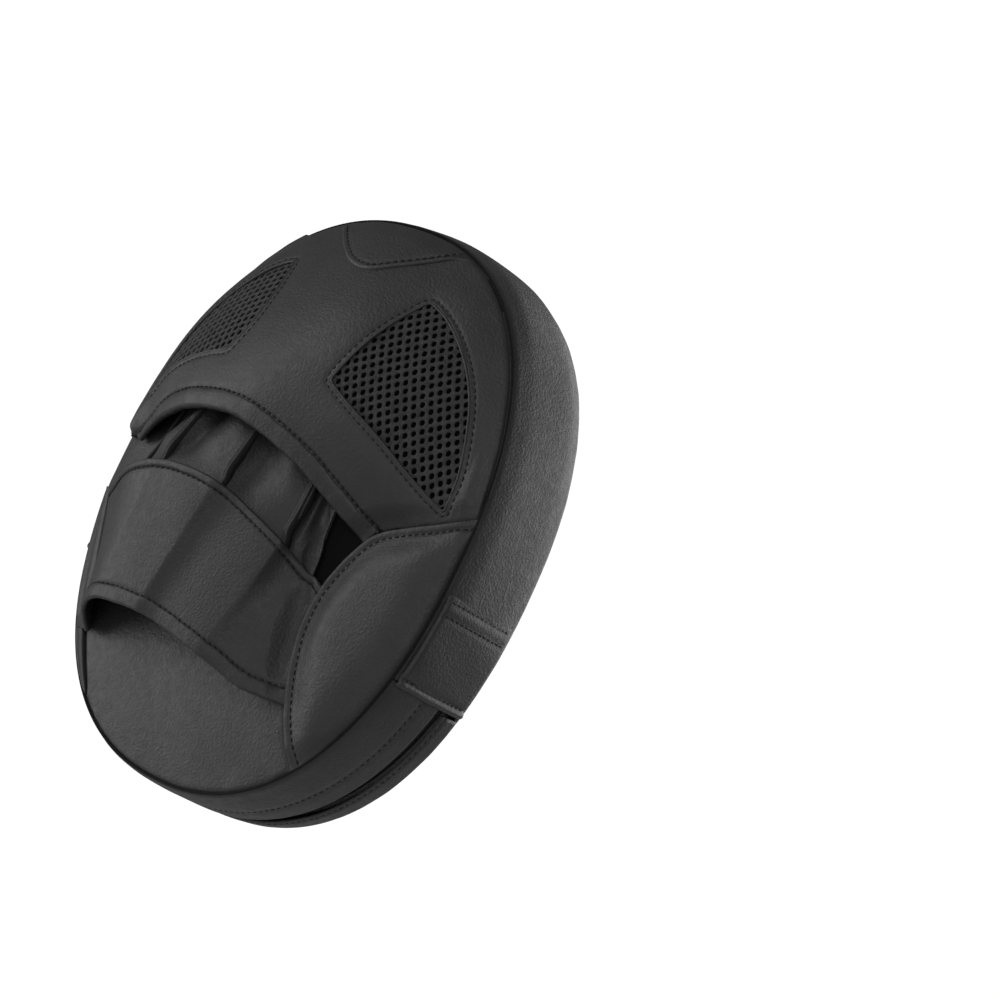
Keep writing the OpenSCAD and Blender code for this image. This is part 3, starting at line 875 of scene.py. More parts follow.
def side_tab(name, side):
    """Tab that joins the hand unit and the pad beside the slit, with a folded and stitched lower edge."""
    low, high = TAB_LOW_Z, TAB_TOP_Z
    rows = (low + 2.2, high - 3.0, high - 8.4)
    lip = low - 1.6
    z = np.concatenate([np.linspace(high, low + 3.2, 26), np.linspace(low + 2.9, lip, 16)])
    y = np.linspace(RIM_Y - 1.5, FACE_RIM_Y + 3.0, 34)
    angle = np.array([angle_at(v) for v in z])
    path = oval(angle if side > 0 else 180 - angle)
    out = unit(np.stack([path[:, 0] / HALF_WIDTH**2, path[:, 1] / HALF_LENGTH**2], -1))
    stand = (wall_lift(y, path[:, 0]) + 1.75 - 1.5 * np.exp(-((high - z) / 2.5))[:, None]
             + 0.9 * np.exp(-((z - low - 0.2) / 1.3)**2)[:, None]
             - groove(z - rows[0], 0.7, 0.6)[:, None]
             - groove(z - rows[1], 0.8, 0.6)[:, None] - groove(z - rows[2], 0.8, 0.6)[:, None]
             + 0.25 * np.sin(z / 5.0)[:, None] * np.sin(y / 9.0)[None])
    edge_d = np.minimum(RIM_Y - 1.5 - y, y - FACE_RIM_Y - 3.0)
    stand = stand - roll_off(edge_d, 2.2, 1.3)[None] - roll_off(z - lip, 1.2, 1.0)[:, None]
    top, outwards = stood_out(path, out, y, stand)
    stand_in(skin(name, top, LEATHER, outwards, LEATHER_BLACK), name, "striking_pad", bends=True)
    threads = []
    for row_z in rows:
        k = int(np.argmin(np.abs(z - row_z)))
        threads.append((top[k, 3:-3] + 0.12 * outwards[k, 3:-3], outwards[k, 3:-3], False))
    stitches(name + "_stitches", threads, "striking_pad", bends=True)


# ---------- finger hood ----------

ARCH_EDGE = [[-55, 1, -4], [-38, 13, 5.5], [-18, 22.5, 15], [14, 30, 22.5], [44, 27, 20], [66, 18.5, 13],
             [80, 10, 4.5], [86.5, 5, -1]]
ARCH_LINE = curve(ARCH_EDGE, np.linspace(0, 1, 80))[:, [0, 2]]
ARCH_RUN = distances_along(ARCH_LINE)
HOOD_CLEARANCE = 3.1
# The hood stands fuller on the little-finger side
HOOD_FILLING = 3.2
OUTER_SLOPE = np.array([0.72, 0.69, 0])
HEM_WIDTH = 6.2
# Distance of the stitches from the arch's hem, from a mesh window's edge and from the tip patch's edge
HEM_ROW = 0.6
WINDOW_ROW = 2.1
PATCH_ROW = 2.3
PLAN = np.array([[1.0, 0, 0], [0, 0, 1.0]])


def hood_base(s, f):
    """Plain surface of the hood: s runs across the fingers, f from the arch to the rim."""
    s, f = np.broadcast_arrays(np.asarray(s, float), np.asarray(f, float))
    a = curve(ARCH_EDGE, np.clip(s, 0, 1))
    rim = oval(174 - 174 * s, 0.9)
    d = xyz(rim[..., 0], RIM_Y + 1.6, rim[..., 1])
    rise = a[..., 1] - d[..., 1]
    b = a + 0.34 * (d - a)
    b[..., 1] += 0.46 * rise
    c = d + 0.3 * (a - d)
    c[..., 1] += 0.22 * rise
    part = f[..., None]
    p = a * (1 - part)**3 + 3 * b * part * (1 - part)**2 + 3 * c * part * part * (1 - part) + d * part**3
    room = (1 - radius_part(p[..., 0], p[..., 2])) * HALF_WIDTH
    full = HOOD_FILLING * ease((p[..., 0] - 20) / 60) * ease(f / 0.3) * ease(room / 12)
    p = p + full[..., None] * OUTER_SLOPE
    floor = palm_at(p[..., 0], p[..., 2])
    y = np.maximum(p[..., 1], floor + HOOD_CLEARANCE * ease(room / 9))
    sewn = ease((seam_side(p[..., [0, 2]])[0] + 1) / 10)
    p[..., 1] = np.where(floor + 0.3 < y, floor + 0.3 + (y - floor - 0.3) * sewn, y)
    return p


def cornered(sides, smoothing=5):
    """Closed outline from smooth sides that meet at corners, with the corners softened."""
    outline = np.vstack([curve(side, np.linspace(0, 1, 30))[:-1] for side in sides])
    outline = resample(outline, 1.0, closed=True)
    for _ in range(smoothing):
        outline = (np.roll(outline, 1, 0) + 2 * outline + np.roll(outline, -1, 0)) / 4
    return outline


# Sides of the mesh windows, each an [x, z] curve from one corner to the next
THUMB_WINDOW = cornered([
    [[-19, 49], [-22.5, 66], [-27.5, 82], [-34, 96]],
    [[-34, 96], [-45, 91.5], [-56, 84], [-66, 74], [-74, 62], [-80, 47], [-83.5, 32], [-83.5, 18]],
    [[-83.5, 18], [-68, 25], [-49, 35], [-30, 43.5], [-19, 49]]])
OUTER_WINDOW = cornered([
    [[39, 46], [36.5, 60], [39, 77], [46, 94]],
    [[46, 94], [56, 88], [67, 77], [76, 63], [83, 45], [87.5, 30], [89, 17]],
    [[89, 17], [80, 28], [66, 37], [50, 43], [39, 46]]])
PATCH_EDGE = [[40, 116], [26, 106], [14, 100], [2, 99], [-9.5, 105], [-21, 112], [-29, 117], [-39, 119]]


def hem_width(run):
    """Width of the arch's folded edge, which narrows towards its end on the little-finger side."""
    return HEM_WIDTH * (1 - 0.74 * ease((run - ARCH_RUN[-1] + 30) / 28))


def arch_run(s):
    """How far along the arch a part of the way across the fingers is."""
    return np.interp(s, np.linspace(0, 1, 80), ARCH_RUN)


def hood_lift(p):
    """How far the padded hood stands out of its plain surface."""
    flat = p[..., [0, 2]]
    arch_d, arch_along = line_distance(flat, ARCH_LINE)
    arch_d = arch_d + HEM_WIDTH - hem_width(arch_along)
    row_d = arch_d - HEM_WIDTH - HEM_ROW
    rim_d, rim_along = line_distance(flat, TIP_RIM)
    seam_d, seam_along = seam_side(flat)
    sewn_d = rim_d - RIM_INSET
    lift = swell(p[..., 0], p[..., 2], 0.5, 1.1) * ease(rim_d / 15) * ease((arch_d - 6) / 15)
    lift += pucker(rim_along, rim_d, 0.17, 6) - roll_off(sewn_d, 2.6, 1.5) - roll_off(sewn_d, 0.9, 1.0)
    lift -= groove(row_d, 1.1, 0.7)
    lift += pucker(arch_along, np.abs(row_d), 0.14, 4)
    lift -= roll_off(np.maximum(seam_d, 0), 2.0, 0.8) + np.clip(-seam_d, 0, 3) * 0.5
    lift += pucker(seam_along, np.abs(seam_d), 0.15, 5)
    for window in (THUMB_WINDOW, OUTER_WINDOW):
        d, along = signed_distance(flat, window)
        lift -= groove(d - WINDOW_ROW, 0.7, 0.35) + 0.5 * np.exp(-(np.maximum(d, 0) / 7)**2)
        lift += pucker(along, np.abs(d - WINDOW_ROW), 0.08, 3)
    return lift


def find_on(surface, across, wanted, rows=90, cols=70):
    """s and f at which a surface's two across directions give the wanted pairs of numbers."""
    gs, gf = lattice((0, 1, rows), (0, 1, cols))
    flat = (surface(gs, gf) @ across.T).reshape(-1, 2)
    start = np.array([np.argmin(((flat - w)**2).sum(1)) for w in wanted])
    s, f = gs.reshape(-1)[start].copy(), gf.reshape(-1)[start].copy()
    small = 1e-4
    for _ in range(6):
        here = surface(s, f) @ across.T
        by_s = (surface(s + small, f) @ across.T - here) / small
        by_f = (surface(s, f + small) @ across.T - here) / small
        miss = wanted - here
        det = by_s[:, 0] * by_f[:, 1] - by_s[:, 1] * by_f[:, 0]
        det = np.where(np.abs(det) < 1e-6, 1e-6, det)
        s = np.clip(s + (miss[:, 0] * by_f[:, 1] - miss[:, 1] * by_f[:, 0]) / det, -0.02, 1.02)
        f = np.clip(f + (by_s[:, 0] * miss[:, 1] - by_s[:, 1] * miss[:, 0]) / det, 0, 1)
    return s, f


def base_normal(surface, s, f):
    """Normals of a surface at places on it."""
    small = 1e-3
    by_s = surface(s + small, f) - surface(s - small, f)
    by_f = surface(s, np.minimum(f + small, 1)) - surface(s, np.maximum(f - small, 0))
    return upward(unit(np.cross(by_s, by_f)))


def on_hood(plan, sink=0.0):
    """Points of the finished hood over [x, z] points, and the hood's normals there."""
    s, f = find_on(hood_base, PLAN, np.asarray(plan, float))
    base = hood_base(s, f)
    normal = base_normal(hood_base, s, f)
    return base + (hood_lift(base) - sink)[:, None] * normal, normal


def hood_panel():
    """Leather of the hood, with the two windows cut out."""
    s, f = lattice((0, 1, 330), (0, 1, 125))
    reach = np.linalg.norm(hood_base(s[:, :1], 1.0) - hood_base(s[:, :1], 0.0), axis=-1)
    start = hem_width(arch_run(s[:, :1])) * 0.9 / reach
    f = start + (1 - start) * f
    end = 2.6 * (1 - ease((1 - s) / 0.022)) * ease((1 - f) / 0.3)
    base = hood_base(s, f)
    top = moved_out(base, hood_lift(base) - end)
    keep = shown_cells(top, 2)
    for window in (THUMB_WINDOW, OUTER_WINDOW):
        keep &= signed_distance(cell_middles(top), window)[0] > 0.1
    piece = skin("hood_panel", top, LEATHER, HAND_SIDE, LEATHER_BLACK, keep)
    stand_in(piece, "hood_panel", "hood", bends=True)


def hood_lining():
    """Backing cloth under the hood's leather and mesh, near-black so that it also paints the shade seen
    through the mesh holes.
    """
    base = hood_base(*lattice((0, 0.975, 110), (0.03, 0.94, 50)))
    top = base - (LEATHER + SEWN_GAP + 0.5) * grid_normals(base, HAND_SIDE)
    piece = skin("hood_lining", top, CLOTH, HAND_SIDE, LINING_AND_SHADE_BLACK, shown_cells(top, -1))
    stand_in(piece, "hood_lining", "hood", bends=True)


def arch_binding():
    """Rolled hem of the arch that the fingers go under, with its row of stitches."""
    s = np.linspace(0.008, 0.992, 210)
    edge, inwards, normal, keep = edge_frames(hood_base(s, 0.0), hood_base(s, 0.05), 2.6)
    width = hem_width(arch_run(s[keep]))
    hem("arch_binding", (edge, inwards, normal), HEM_WIDTH, 2.2, "hood", narrow=width / HEM_WIDTH)
    place = find_on(hood_base, PLAN, (edge + inwards * (width + HEM_ROW)[:, None])[:, [0, 2]])
    row = hood_base(*place) - 0.35 * normal
    stitches("arch_stitches", [(row[3:-9], normal[3:-9], False)], "hood", bends=True)


def window_trim(name, outline):
    """Turned-in leather edge round a window, with its row of stitches."""
    path, normal = on_hood(resample(outline, 1.2, closed=True), 0.45)
    piece = band(name + "_edge", path, normal, round_profile(0.6, 0.75), LEATHER_BLACK, closed=True)
    with_body(piece, "hood", bends=True)
    row = resample(outline, 1.2, closed=True)
    t = unit(np.roll(row, -1, 0) - np.roll(row, 1, 0))
    out = np.stack([t[:, 1], -t[:, 0]], 1)
    turned = np.sign(np.sum(out * (row - outline.mean(0)), 1).sum())
    path, normal = on_hood(row + WINDOW_ROW * turned * out)
    stitches(name + "_stitches", [(path, normal, True)], "hood", bends=True)


# Steps from one hole of the spacer mesh to its neighbours, as [across, up]
MESH_STEP_A = np.array([1.75, 3.35])
MESH_STEP_B = np.array([-2.9, 2.15])
# Half a hole's width and length, as [across, up]
HOLE_WIDE = np.array([0.92, 0.32])
HOLE_LONG = np.array([-0.25, 1.25])
HOLE_SIDES = 12
# Rings from the middle of the strand over its round top into the hole and back underneath, each as a part
# of the way from the hole to the middle of the strand and a height
STRAND = [(1.0, 0.0), (0.55, 0.12), (0.18, -0.02), (0.0, -0.35), (0.1, -0.75), (1.0, -0.95)]


def mesh_cell():
    """Outlines of one cell of the mesh and of its hole."""
    corners = np.array([MESH_STEP_A + MESH_STEP_B, MESH_STEP_B - MESH_STEP_A,
                        -MESH_STEP_A - MESH_STEP_B, MESH_STEP_A - MESH_STEP_B]) / 2
    cell = np.concatenate([corners[k] + (corners[(k + 1) % 4] - corners[k]) * np.array([[0], [1], [2]]) / 3
                           for k in range(4)])
    turn = np.arctan2(cell[:, 1], cell[:, 0])
    return cell, np.cos(turn)[:, None] * HOLE_WIDE + np.sin(turn)[:, None] * HOLE_LONG


def spacer_mesh(name, outline):
    """Knitted mesh with real holes, set under the edge of a window."""
    path, normal = on_hood(resample(outline, 4, closed=True))
    middle, facing = path.mean(0), unit(normal.mean(0))
    up = unit(np.array([0, 0, 1.0]) - facing[2] * facing)
    across = np.stack([np.cross(facing, up), up])
    border = (path - middle) @ across.T
    reach = int(140 / np.linalg.norm(MESH_STEP_A))
    steps = np.array([(i, j) for i in range(-reach, reach) for j in range(-reach, reach)])
    centres = steps[:, :1] * MESH_STEP_A + steps[:, 1:] * MESH_STEP_B
    centres = centres[signed_distance(centres, border)[0] < 1.6]
    cell, hole = mesh_cell()
    plan = np.stack([centres[:, None] + (hole + (cell - hole) * part)[None] for part, _ in STRAND], 1)
    height = np.broadcast_to(np.array([level for _, level in STRAND])[:, None], plan.shape[:-1])
    unique, back = np.unique(np.round(plan.reshape(-1, 2), 3), axis=0, return_inverse=True)
    s, f = find_on(hood_base, across, unique + middle @ across.T)
    base, normals = hood_base(s, f), base_normal(hood_base, s, f)
    back = back.reshape(-1)
    points = base[back] + (height.reshape(-1) - 1.0)[:, None] * normals[back]
    count = len(STRAND) * HOLE_SIDES
    faces = tube_faces(np.arange(count).reshape(-1, HOLE_SIDES))
    faces = (np.arange(len(centres))[:, None, None] * count + faces[None]).reshape(-1, 4)
    stand_in(add_object(name, points, faces, MESH_BLACK), name, "hood", bends=True)


def tip_patch():
    """Second layer of leather over the finger tips."""
    edge_s, edge_f = find_on(hood_base, PLAN, curve(PATCH_EDGE, np.linspace(0, 1, 110)))
    shown = edge_f < 0.995
    edge_s, edge_f = edge_s[shown], edge_f[shown]
    rim_s = np.linspace(edge_s[0], edge_s[-1], len(edge_s))
    v = np.concatenate([[0, 0.02, 0.045, 0.08, 0.12, 0.17], np.linspace(0.23, 1, 18)])
    s = edge_s[:, None] + (rim_s - edge_s)[:, None] * v
    f = edge_f[:, None] + (1 - edge_f)[:, None] * v
    base = hood_base(s, f)
    under = hood_lift(base)
    d, along = line_distance(base[..., [0, 2]], base[:, 0][:, [0, 2]])
    room, _ = line_distance(base[..., [0, 2]], TIP_RIM)
    thick = 0.1 + 1.05 * ease((room - RIM_INSET) / 9) - roll_off(d, 1.3, 0.9) * ease(room / 6)
    sewn = pucker(along, np.abs(d - PATCH_ROW), 0.06, 3) - groove(d - PATCH_ROW, 0.8, 0.35)
    top, low = moved_out(base, under + thick + sewn), moved_out(base, under - 0.3)
    stand_in(shell("tip_patch", top, low, LEATHER_BLACK), "tip_patch", "hood", bends=True)
    row = offset_line(curve(PATCH_EDGE, np.linspace(0.02, 0.98, 90)), -PATCH_ROW)
    row = row[radius_part(*row.T) < 0.975]
    path, normal = on_hood(row, -1.0)
    stitches("tip_patch_stitches", [(path, normal, False)], "hood", bends=True)


# ---------- hand strap ----------

STRAP_TOP = [[-41, 3, -27], [-26, 13.5, -19], [-8, 21, -12.5], [10, 27, -7.5], [28, 29.5, -6.5],
             [46, 29, -8.5], [66, 23, -15], [88, 6, -26]]
STRAP_LOW = [[-48, 2.5, -76], [-34, 11, -77], [-14, 17, -72.5], [5, 21, -69], [24, 24, -67], [48, 24, -69],
             [63, 14, -75], [69, 0, -84]]
# Creases run from each ridge between the fingers to the wrist: s at the top edge, s at the wrist edge, and
# how far the leather sags on the thumb's side of the crease
CREASES = [(-0.10, -0.13, 0), (0.15, 0.285, 5.0), (0.43, 0.565, 3.4), (0.715, 0.722, 0.9),
           (1.0, 1.0, 0.3)]
# How far from the outer crease the leather is lowest, as a part of the way between two creases
VALLEY = 0.27
END_DROP = math.exp(1 - 1 / VALLEY) / VALLEY
STRAP_SPAN = 165
STRAP_HEM = 2.5
WRIST_HEM = 5.4
STRAP_RISE = 4.8
# The strap's leather runs on under the thumb panel
STRAP_FROM = -0.09
# Height of the strap over the palm where it is sewn under the thumb panel
STRAP_SEWN = 0.1


def strap_edge(points, s):
    """One edge of the strap, straight where it runs on under the thumb panel."""
    slope = (curve(points, 0.01) - curve(points, 0.0)) / 0.01
    return curve(points, np.maximum(s, 0)) + np.minimum(s, 0)[..., None] * slope


def strap_base(s, f):
    """Plain surface of the strap: s runs from the thumb seam outwards, f from the fingers to the wrist."""
    s, f = np.broadcast_arrays(np.asarray(s, float), np.asarray(f, float))
    a, b = strap_edge(STRAP_TOP, s), strap_edge(STRAP_LOW, s)
    p = a + (b - a) * f[..., None]
    sewn = 0.15 + 0.85 * ease((seam_side(p[..., [0, 2]])[0] + 2) / 9)
    floor = palm_at(p[..., 0], p[..., 2])
    p[..., 1] = floor + STRAP_SEWN + (np.maximum(p[..., 1] - floor, STRAP_RISE) - STRAP_SEWN) * sewn
    return p


def strap_lift(s, f):
    """Facets that each drop steeply from a crease and rise slowly to the next one."""
    s, f = np.broadcast_arrays(s, f)
    lift = np.zeros(s.shape)
    lines = [(top + (low - top) * f, sag) for top, low, sag in CREASES]
    for (left, _), (right, sag) in zip(lines[:-1], lines[1:]):
        w = np.clip((right - s) / np.maximum(right - left, 1e-3), 0, 1)
        drop = np.where((w > 0) & (w < 1), w / VALLEY * np.exp(1 - w / VALLEY) - w * END_DROP, 0)
        lift -= sag * (1 - 0.45 * f) * drop
    return lift * ease((s + 0.05) / 0.1)


def strap_panel():
    """Leather band over the back of the hand, folded into facets."""
    s, f = lattice((STRAP_FROM, 1, 230), (0, 1, 74))
    length = np.linalg.norm(strap_base(s, 1.0) - strap_base(s, 0.0), axis=-1)
    f = (STRAP_HEM * 0.9 + (length - (STRAP_HEM + WRIST_HEM) * 0.9) * f) / length
    base = strap_base(s, f)
    lift = strap_lift(s, f) + swell(base[..., 0] * 1.7, base[..., 2] * 1.7, 0.12, 0.2)
    for row_d in (f * length - STRAP_HEM, (1 - f) * length - WRIST_HEM):
        lift += pucker(s * STRAP_SPAN, np.abs(row_d), 0.12, 4) - groove(row_d, 1.0, 0.5)
    top = soften(moved_out(base, lift), 2)
    piece = skin("strap_panel", top, LEATHER, HAND_SIDE, LEATHER_BLACK, shown_cells(top, 2))
    stand_in(piece, "strap_panel", "hand_strap", bends=True)


def strap_layer(name, depth, thickness, material):
    """Foam or cloth at a depth under the strap's leather."""
    s, f = lattice((0, 0.9, 110), (0.1, 0.86, 30))
    surface = soften(moved_out(strap_base(s, f), strap_lift(s, f)), 2)
    top = surface - depth * grid_normals(surface, HAND_SIDE)
    piece = skin(name, top, thickness, HAND_SIDE, material, shown_cells(top, -0.5))
    stand_in(piece, name, "hand_strap", bends=True)


def strap_frames(edge_f, inner_f):
    """Frames along one edge of the strap, from f at the edge and f a little inside it."""
    s = np.linspace(STRAP_FROM, 0.995, 210)
    grid_s = np.stack([s, s], 1)
    grid_f = np.broadcast_to(np.array([edge_f, inner_f]), grid_s.shape)
    lift = strap_lift(grid_s, grid_f)[..., None] * base_normal(strap_base, grid_s, grid_f)
    lifted = soften(strap_base(grid_s, grid_f) + lift, 3)
    return edge_frames(lifted[:, 0], lifted[:, 1], 2.2)[:3]


def strap_hems():
    """Folded edges of the strap, with their rows of stitches."""
    rows = []
    for name, places, width, radius in (("strap_top_hem", (0.0, 0.1), STRAP_HEM, 1.0),
                                        ("strap_wrist_hem", (1.0, 0.9), WRIST_HEM, 1.2)):
        edge, inwards, normal = strap_frames(*places)
        hem(name, (edge, inwards, normal), width, radius, "hand_strap", rise=0.35)
        rows.append(((edge + inwards * (width + 0.1) - 0.2 * normal)[6:-3], normal[6:-3], False))
    stitches("strap_stitches", rows, "hand_strap", bends=True)


def rim_x(z):
    """Half width of the outline at a height, on the little-finger side."""
    return HALF_WIDTH * OUTER_GROWTH * (1 - (np.abs(z) / HALF_LENGTH)**SQUARENESS)**(1 / SQUARENESS)


def strap_side():
    """End of the strap's leather, which bends down to the rim on the little-finger side."""
    f, across = lattice((-0.012, 1.0, 84), (0, 1, 22))
    inner = strap_base(np.full(f.shape, 0.985), f) + np.array([0, 0.25, 0])
    z = inner[..., 2] - 3 * across * ease((1 - f) / 0.2)
    outer = xyz(rim_x(z) - 2.2, RIM_Y + 1.2, z)
    full = (1.3 * np.sin(np.pi * across) + 0.7 * np.sin(3 * np.pi * across)) * ease((1 - f) / 0.12)
    top = inner + (outer - inner) * across[..., None] + full[..., None] * OUTER_SLOPE
    with_body(skin("strap_side", top, 0.8, (0.7, 0.7, 0), LEATHER_BLACK), "hand_strap", bends=True)


# ---------- finger stalls ----------

STALL_ROOT = [[-38, 3, -17], [-23, 11, -15.5], [-8, 19, -8.5], [10, 24.5, -3], [28, 27, -2], [45, 26.5, -4],
              [63, 19, -10], [79, 6, -19]]
STALL_TIP = [[-33, 3, 46], [-19, 7, 54], [-4, 10, 60], [12, 12, 63], [28, 12, 63], [43, 11, 60],
             [56, 7, 52], [67, 3, 40]]
STALL_NAMES = ("index_stall", "middle_stall", "ring_stall", "little_stall")
STALL_LIMITS = [0, 1 / 7, 3 / 7, 5 / 7, 1]
STALL_SAG = 2.4
# The stalls' leather starts under the strap
STALL_FROM = -0.13
# Half width and height of the ridges between the stalls
RIDGE_HALF = 1.1
RIDGE_TALL = 1.7


def stall_base(s, f):
    """Plain surface of the stalls: s runs from the thumb's side outwards, f from the strap to the tips."""
    a, b = curve(STALL_ROOT, s), curve(STALL_TIP, s)
    p = a + (b - a) * f[..., None]
    p[..., 1] -= STALL_SAG * 4 * f * (1 - f)
    return p


def stall_lift(number, u, s, f):
    """Leather that drops from the ridge on its outer side and rises to the next one, with soft folds."""
    turn = 1.9 * number
    hump = np.sin(np.pi * u)
    lift = 1.5 * hump - 6.0 * np.sin(np.pi * np.clip(u, 0, 1)**2.6)
    lift += 0.9 * hump * np.sin(8.5 * f + 3.4 * u + turn) + 0.45 * hump * np.sin(17 * f - 6 * u + 2.3 * turn)
    if number == 0:
        lift = lift + 1.5 - 9.0 * np.clip(1 - u / 0.75, 0, 1)**1.7
    under_strap = strap_lift(s, 0.0) - 1.6
    return under_strap + (lift - under_strap) * ease((f + 0.02) / 0.24)


def finger_stalls():
    """Leather over the fingers, gathered and wrinkled between the ridges."""
    for number, name in enumerate(STALL_NAMES):
        u, f = lattice((0, 1, 48), (STALL_FROM, 1, 100))
        low = STALL_LIMITS[number] + 0.003 * (number > 0)
        high = STALL_LIMITS[number + 1] - 0.003 * (number < 3)
        s = low + (high - low) * u
        top = moved_out(stall_base(s, f), stall_lift(number, u, s, f))
        top[..., 1] = np.maximum(top[..., 1], palm_at(top[..., 0], top[..., 2]) + LEATHER + 0.5)
        piece = skin(name, top, LEATHER * 0.8, HAND_SIDE, LEATHER_BLACK)
        stand_in(piece, name, "finger_stalls", bends=True)


def pocket_shade_sheet():
    """Painted shade: a near-black sheet on the palm in the gap between the first finger's leather and the
    thumb panel.
    """
    x, z = lattice((-66, -26, 40), (-34, 24, 50))
    top = xyz(x, palm_at(x, z) + 0.35, z)
    with_body(skin("pocket_shade_sheet", top, CLOTH, HAND_SIDE, LINING_AND_SHADE_BLACK, shown_cells(top, 2)), "hand_shell")


def pocket_side():
    """Flat leather between the little finger's stall and the rim, under the hood's end and the strap's."""
    start, stop = -0.1, 0.62
    f, across = lattice((start, stop, 70), (0, 1, 26))
    inner = stall_base(np.ones(f.shape), f) + np.array([0.6, 0.4, 0])
    rim = oval(-14.5 + 21.5 * (f - start) / (stop - start), 0.4)
    outer = xyz(rim[..., 0], RIM_Y + 0.2, rim[..., 1])
    full = np.sin(np.pi * across)**0.8 * ease((f - start) / 0.2) * ease((stop - f) / 0.25)
    top = outer + (inner - outer) * across[..., None] + 3.4 * full[..., None] * OUTER_SLOPE
    with_body(skin("pocket_side", top, 1.2, (0.7, 0.7, 0), LEATHER_BLACK), "hand_shell")


def stall_ridges():
    """Pinched double-edged seams between the fingers, and the rolled edge of the last stall."""
    half, tall = RIDGE_HALF, RIDGE_TALL
    ridge = [[-half, -2.6], [-half, tall - 0.5], [-half * 0.75, tall], [-half * 0.3, tall - 0.05],
             [0, tall - 0.8], [half * 0.3, tall - 0.05], [half * 0.75, tall], [half, tall - 0.5],
             [half, -2.6]]
    pieces = []
    for k, profile in enumerate((ridge, ridge, ridge, round_profile(0.95, 1.3)), 1):
        f = np.linspace(STALL_FROM / 2, 1, 90)
        path = stall_base(np.full(f.shape, STALL_LIMITS[k]), f)
        path[:, 0] += 0.12 * np.sin(f * 19 + k)
        path[:, 1] += 0.5 + 0.1 * np.sin(f * 23 + 2 * k) - 2.6 * (1 - ease((f + 0.05) / 0.12))
        pieces.append(band("ridge_%d" % k, path, HAND_SIDE, profile, LEATHER_BLACK))
    stand_in(joined(pieces, "stall_ridges"), "stall_ridges", "finger_stalls", bends=True)


# ---------- striking pad ----------

# Parts of the way out at which the foams under the face have a ring of points
FACE_RINGS = (0.05, 0.62, 0.7, 0.8, 0.88, 0.94, 1)


def crown_y(r):
    """Height of the face's plain surface at a part of the way out."""
    share = np.maximum(r - FLAT_PART, 0) / (1 - FLAT_PART)
    return FACE_Y + (FACE_RIM_Y - FACE_Y) * share**FACE_POWER


def face_at(x, z):
    """Height of the face's plain surface."""
    return crown_y(radius_part(x, z))


def face_swell(x, z):
    """Slow unevenness of the face."""
    return swell(x, z, 0.3, 3.0)


def face_cover():
    """Leather of the striking face, crowned and turned over at its edge."""
    grid = fan(RIM, (0, 0), rows=44)
    x, z = grid[..., 0], grid[..., 1]
    d, along = line_distance(grid, RIM, closed=True)
    y = face_at(x, z) + roll_off(d, 3.4, 2.4) - pucker(along, d, 0.2, 6) + face_swell(x, z) * ease(d / 20)
    top = xyz(x, np.maximum(y, FACE_Y - 0.3), z)
    low = xyz(x, np.maximum(y, face_at(x, z)) + LEATHER, z)
    piece = shell("face_cover", top, low, LEATHER_BLACK, wrap=True)
    stand_in(piece, "face_cover", "striking_pad")


def face_stitches():
    """Row of stitches round the face."""
    path = oval(np.linspace(0, 360, 720, endpoint=False), 4.2)
    points = xyz(path[:, 0], face_at(*path.T) - 0.1, path[:, 1])
    stitches("face_stitches", [(points, FACE_SIDE, True)], "striking_pad")


def printed_line(x, z, width, closed):
    """Thin printed line on the face."""
    half = width / 2
    profile = [[-half, -0.1], [-half + 0.15, 0.12], [half - 0.15, 0.12], [half, -0.1]]
    path = xyz(x, face_at(x, z) + face_swell(x, z), z)
    return band("line", path, FACE_SIDE, profile, PRINT_WHITE, closed)


def target_print():
    """Generic target of three rings and a centre cross."""
    turn = np.linspace(0, 2 * np.pi, 240, endpoint=False)
    parts = [printed_line(radius * np.cos(turn), radius * np.sin(turn), width, True)
             for radius, width in ((55, 3.3), (47.5, 3.3), (40, 3.3), (7, 2.4))]
    out = np.linspace(14, 30, 20)
    parts += [printed_line(out * math.cos(turn), out * math.sin(turn), 2.8, False)
              for turn in np.radians([0, 90, 180, 270])]
    with_body(joined(parts, "target_print"), "striking_pad")


# ---------- foams and linings inside ----------

def inner_block(name, stations, material, body):
    """Block inside the mitt, from rings of its outline as [inset, scale, y]."""
    angle = np.linspace(0, 360, 180, endpoint=False)
    rings = []
    for inset, scale, y in stations:
        p = oval(angle, inset) * scale
        rings.append(xyz(p[:, 0], y, p[:, 1]))
    stand_in(sweep(name, rings, material), name, body)


def rounded_block(low, high, inset, edge=1.2):
    """Stations of a flat block with softened edges."""
    side = [(inset + edge, 0.0), (inset + 0.3 * edge, 0.3 * edge), (inset, edge)]
    return [[i, 1, low + up] for i, up in side] + [[i, 1, high - up] for i, up in side[::-1]]


def palm_edge_y(r):
    """Top of the palm's foam at a part of the way out."""
    return RIM_Y * (r * (1 - FOAM_INSET / HALF_WIDTH))**CROWN_POWER - LEATHER - SEWN_GAP


def hand_unit_insides():
    """Firm core, crowned palm foam and lining of the hand unit."""
    inner_block("hand_core", rounded_block(HAND_BACK_Y + CLOTH + 0.3, PALM_FOAM_Y - SEWN_GAP, FOAM_INSET),
                FIRM_FOAM, "hand_shell")
    top = [[FOAM_INSET, r, palm_edge_y(r)] for r in (0.985, 0.96, 0.92, 0.86, 0.78, 0.68, 0.55, 0.35, 0.05)]
    inner_block("palm_foam", [[FOAM_INSET, 1, PALM_FOAM_Y], [FOAM_INSET, 1, PALM_FOAM_Y + 4]] + top,
                SOFT_FOAM, "hand_shell")
    inner_block("hand_lining", [[LEATHER + 0.3, 1, HAND_BACK_Y], [LEATHER + 0.3, 1, HAND_BACK_Y + CLOTH]],
                CLOTH_GREY, "hand_shell")


